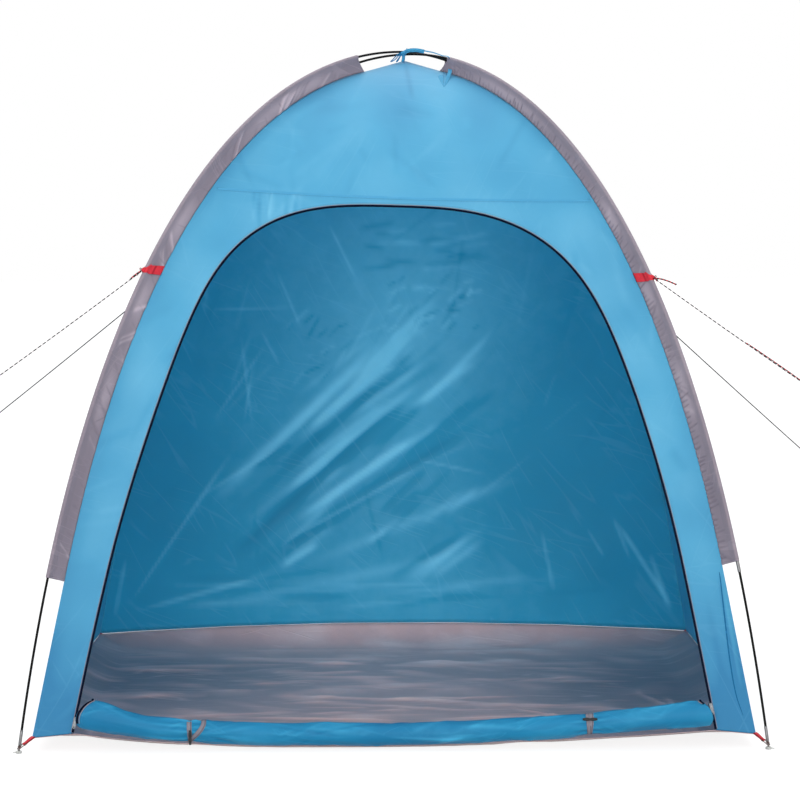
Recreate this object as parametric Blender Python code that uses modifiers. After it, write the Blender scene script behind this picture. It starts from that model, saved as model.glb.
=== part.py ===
"""A two-pole storage tent, pitched, with its arched front door unzipped and rolled down.

Two long poles cross over the top. Each pole lies in a wide sleeve along the seam where two walls
meet, and hooks into a cord loop at each corner of the groundsheet. The door faces -Y, +X is to the
right of someone who looks in, and the ground is at height 0.
"""
import math
from collections import namedtuple

import bmesh
import bpy
from mathutils import Matrix, Vector
from mathutils.geometry import interpolate_bezier

# Clearance between pieces that touch or nearly touch, in metres like every size here
GAP = 0.0003

# How each leg of the poles bends, in the upright plane through the middle and the foot
FOOT_HALF = 0.953
CROSSING_HEIGHT = 1.806
FOOT_LEAN = math.radians(10.1)
LOWER_REACH = 1.66
TOP_REACH = 0.31
# The crossing leans a little to the right of the middle of the base
TOP_SHIFT = 0.040

# Pole sections: a rod, with a metal ferrule glued on its upper end or a metal tip on its foot
ROD_RADIUS = 0.00325
FERRULE_RADIUS = 0.0044
FERRULE_LENGTH = 0.070
STATION_SPACE = 0.010
END_SECTION = 0.490
SECTIONS = 9
TIP_RADIUS = 0.0040
TIP_LENGTH = 0.038
SPIKE_RADIUS = 0.0020
SPIKE_LENGTH = 0.020

# Foot cap under each spike
CAP_RADIUS = 0.0080
CAP_HEIGHT = 0.0065
CAP_FLOOR = 0.0020
CAP_BORE_EASE = 0.0012

# Pole sleeves, of folded cloth
SLEEVE_WIDTH_LOW = 0.056
SLEEVE_WIDTH_TOP = 0.040
SLEEVE_START = 0.462
SLEEVE_STOP_FROM_CROSSING = 0.150
SLEEVE_CLOTH = 0.0010
SLEEVE_EASE = 0.0006
SLEEVE_WEB_GAP = 0.0008

# Walls, and the straight lower corners under the sleeves
CLOTH = 0.0015
CORNER_FROM_FOOT = 0.030
CORNER_HEIGHT = 0.034
PEAK_DROP = 0.022
PEAK_HALF = 0.003
HEM_GAP = 0.0007
FRONT_HEM_RISE = 0.045
BACK_HEM_RISE = 0.032
SIDE_HEM_RISE = 0.020

# Groundsheet, a shallow tray whose front lip carries the rolled door
SIDE_SLOPE_WIDTH = 0.110
BACK_SLOPE_WIDTH = 0.055
LIP_WIDTH = 0.028
LIP_WIDTH_GAIN = 0.120
LIP_MIDDLE = 0.010
LEFT_LIFT_POWER = 3.3
RIGHT_LIFT_POWER = 1.6

# Door opening, an arch that keeps a strip of wall beside it
DOOR_TOP = 1.382
DOOR_STRIP = 0.098
DOOR_STRIP_GAIN = 0.020
DOOR_TILT = 0.035
LEFT_DOOR_SQUARENESS = 16.8
RIGHT_DOOR_SQUARENESS = 14.1
DOOR_ROUNDING = 0.328
# The cut-out is a little narrower half way up, more so on the left
LEFT_DOOR_WAIST = 0.0266
RIGHT_DOOR_WAIST = 0.0121
LEFT_WAIST_REACH = 0.45
RIGHT_WAIST_REACH = 0.36
WAIST_HEIGHT = 0.962
LEG_POINTS = 7
ARCH_POINTS = 10

# Door zip and its two sliders
ZIP_RADIUS = 0.0025
ZIP_FOOT = 0.047
LEFT_SLIDER_HEIGHT = 0.078
RIGHT_SLIDER_HEIGHT = 0.104
SLIDER_LENGTH = 0.014
SLIDER_WIDTH = 0.0095
SLIDER_DEPTH = 0.0085
SLIDER_EASE = 0.0004
PULL_LENGTH = 0.026
PULL_WIDTH = 0.0075
PULL_THICKNESS = 0.0016
PULL_HOLE_RADIUS = 0.0018

# Rolled door on the lip, with its two ties
ROLL_RADIUS = 0.029
ROLL_END_SPACE = 0.025
ROLL_END_RISE = 0.050
ROLL_WAVE = 0.0008
ROLL_SET_BACK = 0.004
TIE_LEFT_X = -0.517
TIE_RIGHT_X = 0.499
TIE_PINCH = 0.0045
TIE_PINCH_REACH = 0.030
TIE_WIDTH = 0.012
TIE_THICKNESS = 0.0012
TIE_EASE = 0.0007
TOGGLE_RADIUS = 0.0035
TOGGLE_LENGTH = 0.030
LEFT_TOGGLE_DROP = 0.013
RIGHT_TOGGLE_TURN = math.radians(32.0)

# Corner straps and cord loops
STRAP_WIDTH = 0.012
STRAP_THICKNESS = 0.0012
STRAP_EYE_RADIUS = 0.0017
STRAP_END_GAP = 0.0009
LOOP_CORD_RADIUS = 0.0012
LOOP_LENGTH = 0.018
LOOP_HEIGHT = 0.0125

# Guy patches and guy ropes
PATCH_HEIGHT = 0.022
PATCH_THICKNESS = 0.0012
PATCH_INSET = 0.004
GUY_RADIUS = 0.0012
GUY_SAG = 0.002
GUY_POINTS = 20
# Length up the leg where the patch sits, how far its rope reaches out and how far it drops
GUYS = {
    "front_left": (1.290, 0.504, 0.280),
    "front_right": (1.260, 0.520, 0.260),
    "back_right": (1.180, 0.960, 0.570),
    "back_left": (1.240, 0.920, 0.521),
}

# Tie tape round the crossing
TAPE_HALF_WIDTH = 0.022
TAPE_BREADTH = 0.012
TAPE_THICKNESS = 0.0012
TAPE_EASE = 0.0010

ROOT_2 = math.sqrt(2.0)
CORNER_HALF = FOOT_HALF - CORNER_FROM_FOOT
ROLL_HALF_LENGTH = CORNER_HALF - DOOR_STRIP - ROLL_END_SPACE
FOOT_OUT = FOOT_HALF * ROOT_2
CORNER_OUT = CORNER_HALF * ROOT_2
PEAK_HEIGHT = CROSSING_HEIGHT - PEAK_DROP
HEM_SHARES = (-1.0, -0.88, -0.56, -0.2, 0.2, 0.56, 0.88, 1.0)
CROSSING_OFFSET = ROD_RADIUS + GAP
STEPS_OF_SECTIONS = (6, 7, 7, 7, 4)

# A leg stands at side_x, side_y; lift is +1 on the pole that passes over the other one
Leg = namedtuple("Leg", "name side_x side_y lift")
LEGS = (
    Leg("front_left", -1, -1, 1),
    Leg("front_right", 1, -1, -1),
    Leg("back_right", 1, 1, 1),
    Leg("back_left", -1, 1, -1),
)


def clear_scene():
    """Start from an empty file."""
    for old in list(bpy.data.objects):
        bpy.data.objects.remove(old, do_unlink=True)


clear_scene()
PARTS = bpy.data.collections.new("storage_tent")
CUTTERS = bpy.data.collections.new("cutters")
bpy.context.scene.collection.children.link(PARTS)
bpy.context.scene.collection.children.link(CUTTERS)


def make_material(name, colour, roughness, metallic=0.0):
    """A plain Principled material."""
    material = bpy.data.materials.new(name)
    material.use_nodes = True
    shader = material.node_tree.nodes["Principled BSDF"]
    shader.inputs["Base Color"].default_value = (*colour, 1.0)
    shader.inputs["Roughness"].default_value = roughness
    shader.inputs["Metallic"].default_value = metallic
    return material


WALL_BLUE = make_material("wall_blue", (0.06, 0.36, 0.66), 0.6)
DOOR_BLUE = make_material("door_blue", (0.02, 0.22, 0.50), 0.6)
SLEEVE_GREY = make_material("sleeve_grey", (0.27, 0.24, 0.27), 0.65)
FLOOR_GREY = make_material("floor_grey", (0.22, 0.20, 0.23), 0.6)
ROD_BLACK = make_material("rod_black", (0.012, 0.012, 0.013), 0.35)
ZIP_BLACK = make_material("zip_black", (0.015, 0.016, 0.022), 0.55)
STEEL = make_material("steel", (0.62, 0.62, 0.60), 0.3, 1.0)
CAP_PALE = make_material("cap_pale", (0.55, 0.56, 0.54), 0.5)
STRAP_RED = make_material("strap_red", (0.52, 0.02, 0.03), 0.7)
TIE_GREY = make_material("tie_grey", (0.30, 0.28, 0.32), 0.75)
CORD_BROWN = make_material("cord_brown", (0.20, 0.13, 0.12), 0.75)
CORD_RED = make_material("cord_red", (0.50, 0.05, 0.06), 0.75)
CORD_DARK = make_material("cord_dark", (0.05, 0.05, 0.06), 0.75)
TOGGLE_BLACK = make_material("toggle_black", (0.015, 0.015, 0.017), 0.4)
TAPE_BLUE = make_material("tape_blue", (0.04, 0.30, 0.52), 0.7)


def add_object(name, data, material, collection=PARTS):
    """Link a new object that carries its own copy of the material."""
    obj = bpy.data.objects.new(name, data)
    own = material.copy()
    own.name = name + "_finish"
    obj.data.materials.append(own)
    collection.objects.link(obj)
    return obj


def grid_surface(name, rows, material):
    """An open surface through rows of points; across, then up the rows, turns to its outside."""
    mesh = bpy.data.meshes.new(name)
    surface = bmesh.new()
    lines = [[surface.verts.new(point) for point in row] for row in rows]
    for low, high in zip(lines, lines[1:]):
        for left in range(len(low) - 1):
            surface.faces.new((low[left], low[left + 1], high[left + 1], high[left]))
    surface.to_mesh(mesh)
    surface.free()
    return add_object(name, mesh, material)


def thicken(obj, thickness, offset):
    """Give an open surface its wall: offset -1 keeps the surface outside, +1 inside."""
    wall = obj.modifiers.new("wall", "SOLIDIFY")
    wall.thickness = thickness
    wall.offset = offset
    wall.use_even_offset = True
    return wall


def tube(name, points, radii, material, resolution=1, closed=False):
    """A round tube along points, with a radius for each of them."""
    curve = bpy.data.curves.new(name, "CURVE")
    curve.dimensions = "3D"
    curve.bevel_depth = 1.0
    curve.bevel_resolution = resolution
    curve.use_fill_caps = not closed
    spline = curve.splines.new("POLY")
    spline.points.add(len(points) - 1)
    for spot, point, radius in zip(spline.points, points, radii):
        spot.co = (*point, 1.0)
        spot.radius = radius
    spline.use_cyclic_u = closed
    return add_object(name, curve, material)


def flat_curve(name, outlines, half_thickness, material, collection=PARTS):
    """A flat plate from closed outlines in its own XY plane; a later outline is a hole."""
    curve = bpy.data.curves.new(name, "CURVE")
    curve.dimensions = "2D"
    curve.fill_mode = "BOTH"
    curve.extrude = half_thickness
    for outline in outlines:
        spline = curve.splines.new("POLY")
        spline.points.add(len(outline) - 1)
        for spot, (x, y) in zip(spline.points, outline):
            spot.co = (x, y, 0.0, 1.0)
        spline.use_cyclic_u = True
    return add_object(name, curve, material, collection)


def as_mesh(curve_object, collection):
    """Turn a curve object into a closed mesh object in the same place."""
    bpy.context.view_layer.update()
    depsgraph = bpy.context.evaluated_depsgraph_get()
    mesh = bpy.data.meshes.new_from_object(curve_object.evaluated_get(depsgraph))
    welded = bmesh.new()
    welded.from_mesh(mesh)
    bmesh.ops.remove_doubles(welded, verts=welded.verts, dist=0.000001)
    bmesh.ops.recalc_face_normals(welded, faces=welded.faces)
    welded.to_mesh(mesh)
    welded.free()
    name = curve_object.name
    place = curve_object.matrix_world.copy()
    bpy.data.objects.remove(curve_object, do_unlink=True)
    obj = bpy.data.objects.new(name, mesh)
    obj.matrix_world = place
    collection.objects.link(obj)
    return obj


def cut_with(obj, cutter):
    """Subtract a closed mesh object, and keep it as a hidden guide."""
    cutter.hide_render = True
    cutter.display_type = "WIRE"
    cut = obj.modifiers.new("cut", "BOOLEAN")
    cut.operation = "DIFFERENCE"
    cut.solver = "EXACT"
    cut.object = cutter


def circle(radius, count, centre=(0.0, 0.0), squash=1.0):
    """Points of a circle, or of an ellipse where squash isn't 1."""
    turns = [math.tau * step / count for step in range(count)]
    return [(centre[0] + radius * math.cos(a), centre[1] + squash * radius * math.sin(a)) for a in turns]


def mix(a, b, share):
    """The value or point a share of the way from a to b."""
    return a + (b - a) * share


def along_line(stations, places, where):
    """The point at a length on a line that runs straight between its stations."""
    for index in range(len(stations) - 2):
        if where <= stations[index + 1]:
            break
    else:
        index = len(stations) - 2
    span = stations[index + 1] - stations[index]
    return mix(places[index], places[index + 1], (where - stations[index]) / span)


# The leg's bend, and its stations: the joints of the sections with even steps between them
BEND = [point.to_2d() for point in interpolate_bezier(
    Vector((FOOT_OUT, 0.0, 0.0)),
    Vector((FOOT_OUT - LOWER_REACH * math.sin(FOOT_LEAN), LOWER_REACH * math.cos(FOOT_LEAN), 0.0)),
    Vector((TOP_REACH, CROSSING_HEIGHT, 0.0)),
    Vector((0.0, CROSSING_HEIGHT, 0.0)),
    601,
)]
BEND_LENGTHS = [0.0]
for before, after in zip(BEND, BEND[1:]):
    BEND_LENGTHS.append(BEND_LENGTHS[-1] + (after - before).length)
HALF_LENGTH = BEND_LENGTHS[-1]
MIDDLE_SECTION = 2.0 * (HALF_LENGTH - END_SECTION) / (SECTIONS - 2)
JOINTS = [END_SECTION + MIDDLE_SECTION * index for index in range((SECTIONS - 1) // 2)]


def leg_stations():
    """Lengths up the leg from its foot to the crossing."""
    stops = [0.0, *JOINTS, HALF_LENGTH]
    lengths = [0.0]
    for start, stop, steps in zip(stops, stops[1:], STEPS_OF_SECTIONS):
        for step in range(1, steps + 1):
            lengths.append(mix(start, stop, step / steps))
    return lengths


STATIONS = leg_stations()


def bend_normal(length):
    """The outward direction square to the leg, in the leg's own plane."""
    reach = HALF_LENGTH / 1200.0
    low = along_line(BEND_LENGTHS, BEND, max(length - reach, 0.0))
    high = along_line(BEND_LENGTHS, BEND, min(length + reach, HALF_LENGTH))
    run = (high - low).normalized()
    return Vector((run.y, -run.x))


def sleeve_width(length):
    """From the pole's middle to the seam."""
    return mix(SLEEVE_WIDTH_LOW, SLEEVE_WIDTH_TOP, length / HALF_LENGTH)


POLE_LINE = [along_line(BEND_LENGTHS, BEND, length) for length in STATIONS]
SEAM_LINE = [
    point - bend_normal(length) * sleeve_width(length) for point, length in zip(POLE_LINE, STATIONS)
]


def lifted(lift):
    """The pole's line in its leg's plane: one pole passes over the other where they cross."""
    line = []
    for point in POLE_LINE:
        near = 1.0 - point.x / FOOT_OUT
        line.append(point + Vector((0.0, lift * CROSSING_OFFSET * near * near)))
    return line


LIFTED = {lift: lifted(lift) for lift in (1, -1)}
SLEEVE_STOP = HALF_LENGTH - SLEEVE_STOP_FROM_CROSSING


def place(leg, out, height, across=0.0):
    """A point in space from its distance out, its height and its distance across the leg's plane."""
    shift = TOP_SHIFT * (1.0 - out / FOOT_OUT)
    x = (leg.side_x * out - leg.side_y * across) / ROOT_2 + shift
    y = (leg.side_y * out + leg.side_x * across) / ROOT_2
    return Vector((x, y, height))


def pole_point(leg, length):
    """The middle of the pole, at a length up the leg."""
    spot = along_line(STATIONS, LIFTED[leg.lift], length)
    return place(leg, spot.x, spot.y)


def stops_between(start, stop):
    """Start, the stations between, and stop."""
    near = STATION_SPACE * 0.4
    return [start] + [length for length in STATIONS if start + near < length < stop - near] + [stop]


# The hip, where two walls meet: straight from the corner to the sleeve, along the seam, to the peak
HIP = [Vector((CORNER_OUT, CORNER_HEIGHT))]
SLEEVE_FOOT = along_line(STATIONS, SEAM_LINE, SLEEVE_START)
HIP.extend(HIP[0].lerp(SLEEVE_FOOT, share) for share in (0.3, 0.65))
HIP.extend(along_line(STATIONS, SEAM_LINE, length) for length in stops_between(SLEEVE_START, SLEEVE_STOP))
HIP.append(Vector((PEAK_HALF * ROOT_2, PEAK_HEIGHT)))


def hip_out(height):
    """How far out the hip is at a height; below the corner it goes on in a straight line."""
    heights = [point.y for point in HIP]
    outs = [point.x for point in HIP]
    return along_line(heights, outs, height)


def wall_half(height):
    """Half the tent's width at a height."""
    return hip_out(height) / ROOT_2


def middle_shift(height):
    """How far the tent's middle leans to the right at a height."""
    return TOP_SHIFT * (1.0 - hip_out(height) / FOOT_OUT)


def hem_height(u, rise):
    """Height of a wall's lower edge, from its corners at u = -1 and 1 to its middle."""
    steps = [Vector((stop, CORNER_HEIGHT + rise * (1.0 - stop * stop))) for stop in HEM_SHARES]
    return along_line(HEM_SHARES, steps, u).y


def pole_sections(leg_a, leg_b, pole_name):
    """The sections of one pole, from one foot over the crossing to the other."""
    whole = 2.0 * HALF_LENGTH
    ends = [0.0] + JOINTS + [whole - length for length in reversed(JOINTS)] + [whole]
    stations = STATIONS + [whole - length for length in reversed(STATIONS[:-1])]

    def point_at(length):
        if length <= HALF_LENGTH:
            return pole_point(leg_a, length)
        return pole_point(leg_b, whole - length)

    foot_start = (CAP_FLOOR + GAP + SPIKE_RADIUS * math.sin(FOOT_LEAN)) / math.cos(FOOT_LEAN)
    step = GAP
    half = FERRULE_LENGTH / 2.0
    tip_top = SPIKE_LENGTH + TIP_LENGTH
    for index in range(SECTIONS):
        low = ends[index]
        high = ends[index + 1]
        inner_low = low + half + STATION_SPACE
        inner_high = high - half - STATION_SPACE
        marks = [(length, ROD_RADIUS) for length in stations if inner_low < length < inner_high]
        if index == 0:
            start = [(foot_start, SPIKE_RADIUS), (SPIKE_LENGTH, SPIKE_RADIUS),
                     (SPIKE_LENGTH + step, TIP_RADIUS), (tip_top, TIP_RADIUS), (tip_top + step, ROD_RADIUS)]
            marks = start + [mark for mark in marks if mark[0] > tip_top + STATION_SPACE]
        else:
            marks.insert(0, (low + half + GAP, ROD_RADIUS))
        if index == SECTIONS - 1:
            stop = [(whole - tip_top - step, ROD_RADIUS), (whole - tip_top, TIP_RADIUS),
                    (whole - SPIKE_LENGTH - step, TIP_RADIUS), (whole - SPIKE_LENGTH, SPIKE_RADIUS),
                    (whole - foot_start, SPIKE_RADIUS)]
            marks = [mark for mark in marks if mark[0] < whole - tip_top - STATION_SPACE] + stop
        else:
            marks += [(high - half, ROD_RADIUS), (high - half + step, FERRULE_RADIUS)]
            marks += [(high, FERRULE_RADIUS), (high + half, FERRULE_RADIUS)]
        points = [point_at(length) for length, _ in marks]
        radii = [radius for _, radius in marks]
        tube(f"{pole_name}_section_{index + 1}", points, radii, ROD_BLACK)


def foot_cap(leg):
    """A small round cap on the ground that the spike stands in, turned about its own axis."""
    bore = SPIKE_RADIUS + CAP_BORE_EASE
    profile = [(0.0, CAP_FLOOR), (bore, CAP_FLOOR), (bore, CAP_HEIGHT), (CAP_RADIUS * 0.82, CAP_HEIGHT),
               (CAP_RADIUS, CAP_HEIGHT * 0.6), (CAP_RADIUS, 0.0), (0.0, 0.0)]
    mesh = bpy.data.meshes.new(f"foot_cap_{leg.name}")
    line = bmesh.new()
    corners = [line.verts.new((x, 0.0, z)) for x, z in profile]
    for first, second in zip(corners, corners[1:]):
        line.edges.new((first, second))
    line.to_mesh(mesh)
    line.free()
    cap = add_object(mesh.name, mesh, CAP_PALE)
    cap.location = place(leg, FOOT_OUT - CAP_FLOOR * math.tan(FOOT_LEAN), 0.0)
    turn = cap.modifiers.new("turn", "SCREW")
    turn.steps = 12
    turn.render_steps = 12
    turn.use_merge_vertices = True
    turn.merge_threshold = 0.00001
    return cap


def sleeve_section(leg, length, inner_radius, web_half, seam_end):
    """One folded cross-section round the pole, from one edge at the seam round to the other."""
    pole = along_line(STATIONS, LIFTED[leg.lift], length)
    seam = along_line(STATIONS, SEAM_LINE, length)
    outward = (pole - seam).normalized()
    width = (pole - seam).length
    turns = (-120.0, -40.0, 40.0, 120.0)
    corner_radius = inner_radius / math.cos(math.radians(40.0))
    web_start = corner_radius * 1.2
    flat = [(-(width - seam_end), -web_half), (-web_start, -web_half)]
    round_part = [
        (corner_radius * math.cos(math.radians(a)), corner_radius * math.sin(math.radians(a))) for a in turns
    ]
    section = flat + round_part + [(along, -across) for along, across in reversed(flat)]
    points = []
    for along, across in section:
        spot = pole + outward * along
        points.append(place(leg, spot.x, spot.y, across))
    return points


def folded_cloth(name, leg, stops, inner_radius, web_half, seam_end, thickness, material):
    """Cloth folded round the pole, open along its seam."""
    rows = [sleeve_section(leg, length, inner_radius, web_half, seam_end) for length in stops]
    cloth = grid_surface(name, rows, material)
    thicken(cloth, thickness, 1.0)
    return cloth


SLEEVE_INNER = FERRULE_RADIUS + SLEEVE_EASE
SLEEVE_WEB_HALF = SLEEVE_WEB_GAP / 2.0
PATCH_INNER = SLEEVE_INNER + SLEEVE_CLOTH + GAP
PATCH_WEB_HALF = SLEEVE_WEB_HALF + SLEEVE_CLOTH + GAP


def wall(name, start, stop, rise, trim, material=WALL_BLUE):
    """A wall between two hips, from its hem to the peak; trim shortens it at both hips."""
    rows = []
    for index, spot in enumerate(HIP):
        row = []
        for stop_at in HEM_SHARES:
            share = (1.0 + stop_at) / 2.0
            height = spot.y
            if index == 0:
                height = hem_height(stop_at, rise)
            out = hip_out(height) if index == 0 else spot.x
            left = place(start, out, height)
            right = place(stop, out, height)
            end = min(trim / (right - left).length, 0.45)
            row.append(left.lerp(right, mix(end, 1.0 - end, share)))
        rows.append(row)
    cloth = grid_surface(name, rows, material)
    thicken(cloth, CLOTH, -1.0)
    return cloth


def door_half(height, side):
    """Half the door's width at a height on one side, below its rounded top."""
    share = height / DOOR_TOP
    waist, reach = (LEFT_DOOR_WAIST, LEFT_WAIST_REACH) if side < 0 else (RIGHT_DOOR_WAIST, RIGHT_WAIST_REACH)
    narrowing = waist * math.exp(-((height - WAIST_HEIGHT) / reach) ** 2)
    return wall_half(height) - DOOR_STRIP - DOOR_STRIP_GAIN * share ** 6 - narrowing


def arch_side(foot, side):
    """Height and half width up one side of the door, from its foot to its top."""
    squareness = LEFT_DOOR_SQUARENESS if side < 0 else RIGHT_DOOR_SQUARENESS
    leg_top = DOOR_TOP * 0.65
    points = []
    for step in range(LEG_POINTS):
        height = mix(foot, leg_top, step / LEG_POINTS)
        points.append((height, door_half(height, side)))
    first = math.asin((leg_top / DOOR_TOP) ** (squareness / 2.0))
    for step in range(ARCH_POINTS + 1):
        angle = mix(first, math.pi / 2.0, step / ARCH_POINTS)
        height = DOOR_TOP * math.sin(angle) ** (2.0 / squareness)
        rounding = max(math.cos(angle), 0.0) ** (2.0 * DOOR_ROUNDING)
        points.append((height, door_half(height, side) * rounding))
    return points


def arch_outline(foot, inset=0.0):
    """The door's outline in the XZ plane, from its right foot over the top to its left foot."""
    points = []
    for sign, run in ((1.0, arch_side(foot, 1)), (-1.0, list(reversed(arch_side(foot, -1)))[1:])):
        for height, half in run:
            x = middle_shift(height) + sign * half
            tilt = DOOR_TILT * x * (height / DOOR_TOP) ** 6
            points.append(Vector((x, height - tilt)))
    if inset:
        moved = []
        for index, point in enumerate(points):
            before = points[max(index - 1, 0)]
            after = points[min(index + 1, len(points) - 1)]
            run = (after - before).normalized()
            moved.append(point + Vector((-run.y, run.x)) * inset)
        points = moved
    return points


def door_cutter():
    """A block with the door's outline that runs through the front wall."""
    outline = [(point.x, point.y) for point in arch_outline(0.0)]
    below = -0.05
    outline.append((outline[-1][0], below))
    outline.append((outline[0][0], below))
    depth = CORNER_HALF / 2.0
    block = flat_curve("door_cutter", [outline], depth * 0.9, WALL_BLUE, CUTTERS)
    block.rotation_euler = (math.pi / 2.0, 0.0, 0.0)
    block.location = (0.0, -CORNER_HALF + depth * 0.4, 0.0)
    return as_mesh(block, CUTTERS)


def front_surface(x, height, inwards=0.0):
    """A point on the front wall's outside, or a little inwards of it."""
    return Vector((x, -wall_half(height) + inwards, height))


def zip_path(foot):
    """The middle of the zip: inside the door's edge, half way through the wall."""
    inset = ZIP_RADIUS + GAP
    return [front_surface(point.x, point.y, CLOTH / 2.0) for point in arch_outline(foot, inset)]


ZipFrame = namedtuple("ZipFrame", "point up side out")


def zip_frame(side):
    """Where a slider sits on the straight foot of the zip, and its directions."""
    path = zip_path(ZIP_FOOT)
    if side < 0:
        path = list(reversed(path))
    low = path[0]
    high = path[2]
    up = (high - low).normalized()
    height = LEFT_SLIDER_HEIGHT if side < 0 else RIGHT_SLIDER_HEIGHT
    share = (height - low.z) / (high.z - low.z)
    out = Vector((1.0, 0.0, 0.0)).cross(up).normalized()
    return ZipFrame(low.lerp(high, share), up, up.cross(out), out)


def turned_to(frame, origin):
    """A matrix whose X is the frame's side, Y its up and Z its outward direction."""
    turn = Matrix((frame.side, frame.up, frame.out)).transposed().to_4x4()
    return Matrix.Translation(origin) @ turn


def block_mesh(name, size):
    """A box mesh about its own middle."""
    mesh = bpy.data.meshes.new(name)
    box = bmesh.new()
    bmesh.ops.create_cube(box, size=1.0)
    bmesh.ops.scale(box, vec=size, verts=box.verts)
    box.to_mesh(mesh)
    box.free()
    return mesh


def zip_slider(side, label):
    """A slider body round the zip, slotted on the side where the wall's edge runs through it."""
    frame = zip_frame(side)
    outer = turned_to(frame, frame.point)
    body = add_object(f"zip_slider_{label}", block_mesh(f"zip_slider_{label}",
                      (SLIDER_WIDTH, SLIDER_LENGTH, SLIDER_DEPTH)), STEEL)
    body.matrix_world = outer
    round_off = body.modifiers.new("round", "BEVEL")
    round_off.width = 0.0010
    round_off.segments = 1
    bore = bpy.data.meshes.new(f"slider_bore_{label}")
    drill = bmesh.new()
    bore_radius = (ZIP_RADIUS + SLIDER_EASE) / math.cos(math.pi / 10.0)
    bmesh.ops.create_cone(drill, cap_ends=True, segments=10, radius1=bore_radius, radius2=bore_radius,
                          depth=SLIDER_LENGTH * 1.6)
    bmesh.ops.rotate(drill, cent=(0, 0, 0), matrix=Matrix.Rotation(math.pi / 2.0, 3, "X"), verts=drill.verts)
    drill.to_mesh(bore)
    drill.free()
    hole = bpy.data.objects.new(bore.name, bore)
    hole.matrix_world = outer
    CUTTERS.objects.link(hole)
    slot_height = CLOTH + 2.0 * SLIDER_EASE
    slot = bpy.data.objects.new(f"slider_slot_{label}", block_mesh(f"slider_slot_{label}",
                                (SLIDER_WIDTH, SLIDER_LENGTH * 1.6, slot_height)))
    towards_wall = side if frame.side.x > 0 else -side
    slot.matrix_world = outer @ Matrix.Translation((towards_wall * SLIDER_WIDTH / 2.0, 0.0, 0.0))
    CUTTERS.objects.link(slot)
    cut_with(body, hole)
    cut_with(body, slot)
    return frame


def zip_pull(frame, label):
    """A pull tab with a hole, hung on the front of its slider; its origin is its hinge."""
    half = PULL_WIDTH / 2.0
    outline = circle(half, 12, (0.0, -PULL_LENGTH + half))[6:]
    outline = [(-half, 0.0)] + outline + [(half, -PULL_LENGTH + half), (half, 0.0)]
    hole = circle(PULL_HOLE_RADIUS, 8, (0.0, -PULL_LENGTH + half))
    tab = flat_curve(f"zip_pull_{label}", [outline, hole], PULL_THICKNESS / 2.0, STEEL)
    out = SLIDER_DEPTH / 2.0 + GAP + PULL_THICKNESS / 2.0
    tab.matrix_world = turned_to(frame, frame.point + frame.out * out + frame.up * SLIDER_LENGTH * 0.2)
    return tab


def side_lift(share):
    """How far the sill has risen, 0 in the middle to 1 at its ends: sooner on the right than on the left."""
    power = LEFT_LIFT_POWER if share < 0.0 else RIGHT_LIFT_POWER
    return abs(share) ** power


def lip_height(u):
    """Height of the groundsheet's front lip: low at the door's middle, up to the wall at its sides."""
    reach = abs(u)
    bend = HEM_SHARES[-2]
    if reach >= bend:
        return hem_height(reach, FRONT_HEM_RISE) - HEM_GAP
    return mix(LIP_MIDDLE, hem_height(bend, FRONT_HEM_RISE) - HEM_GAP, side_lift(u / bend))


def lip_from(u):
    """Where along the floor the front lip starts: further back where the lip is higher."""
    width = LIP_WIDTH + LIP_WIDTH_GAIN * min(side_lift(u / HEM_SHARES[-2]), 1.0)
    return 1.0 - width / CORNER_HALF


def groundsheet():
    """A tray: flat on the ground, sloped up to the walls' hems and to the front lip."""
    side_start = 1.0 - SIDE_SLOPE_WIDTH / CORNER_HALF
    back_start = 1.0 - BACK_SLOPE_WIDTH / CORNER_HALF
    half_row = sorted({0.2, 0.4, 0.56, 0.72, 0.88, side_start, 1.0})
    across = [-u for u in reversed(half_row)] + [0.0] + half_row
    along = sorted({-lip_from(0.0), -lip_from(0.4), -lip_from(0.72), back_start, *HEM_SHARES})
    rows = []
    for v in along:
        row = []
        for u in across:
            lip_start = lip_from(u)
            side_share = max(abs(u) - side_start, 0.0) / (1.0 - side_start)
            back_share = max(v - back_start, 0.0) / (1.0 - back_start)
            lip_share = max(-v - lip_start, 0.0) / (1.0 - lip_start)
            side = side_share * (hem_height(v, SIDE_HEM_RISE) - HEM_GAP - CLOTH)
            back = back_share * (hem_height(u, BACK_HEM_RISE) - HEM_GAP - CLOTH)
            lip = lip_share * (lip_height(u) - CLOTH)
            height = CLOTH + max(side, back, lip)
            half = wall_half(height)
            edge = (half - CLOTH * 0.6) / half
            row.append(Vector((u * half * edge + middle_shift(height), v * half * edge, height)))
        rows.append(row)
    sheet = grid_surface("groundsheet", rows, FLOOR_GREY)
    thicken(sheet, CLOTH, -1.0)
    return sheet


ROLL_Y = -(CORNER_HALF + ROLL_SET_BACK)


def roll_centre(x):
    """Height of the roll's middle line: it rests on the lip and lifts to the zip at its ends."""
    rest = lip_height(0.0) + GAP + ROLL_RADIUS
    return rest + ROLL_END_RISE * side_lift(x / ROLL_HALF_LENGTH)


def roll_radius(x):
    """The roll is pinched by its two ties, uneven between them, and thinner at its ends."""
    radius = ROLL_RADIUS - ROLL_WAVE + ROLL_WAVE * math.sin(x / ROLL_HALF_LENGTH * 13.4)
    for tie in (TIE_LEFT_X, TIE_RIGHT_X):
        radius -= TIE_PINCH * math.exp(-((x - tie) / TIE_PINCH_REACH) ** 2)
    end = max(abs(x) / ROLL_HALF_LENGTH - 0.96, 0.0) / 0.04
    return radius * (1.0 - 0.35 * end * end)


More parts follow.
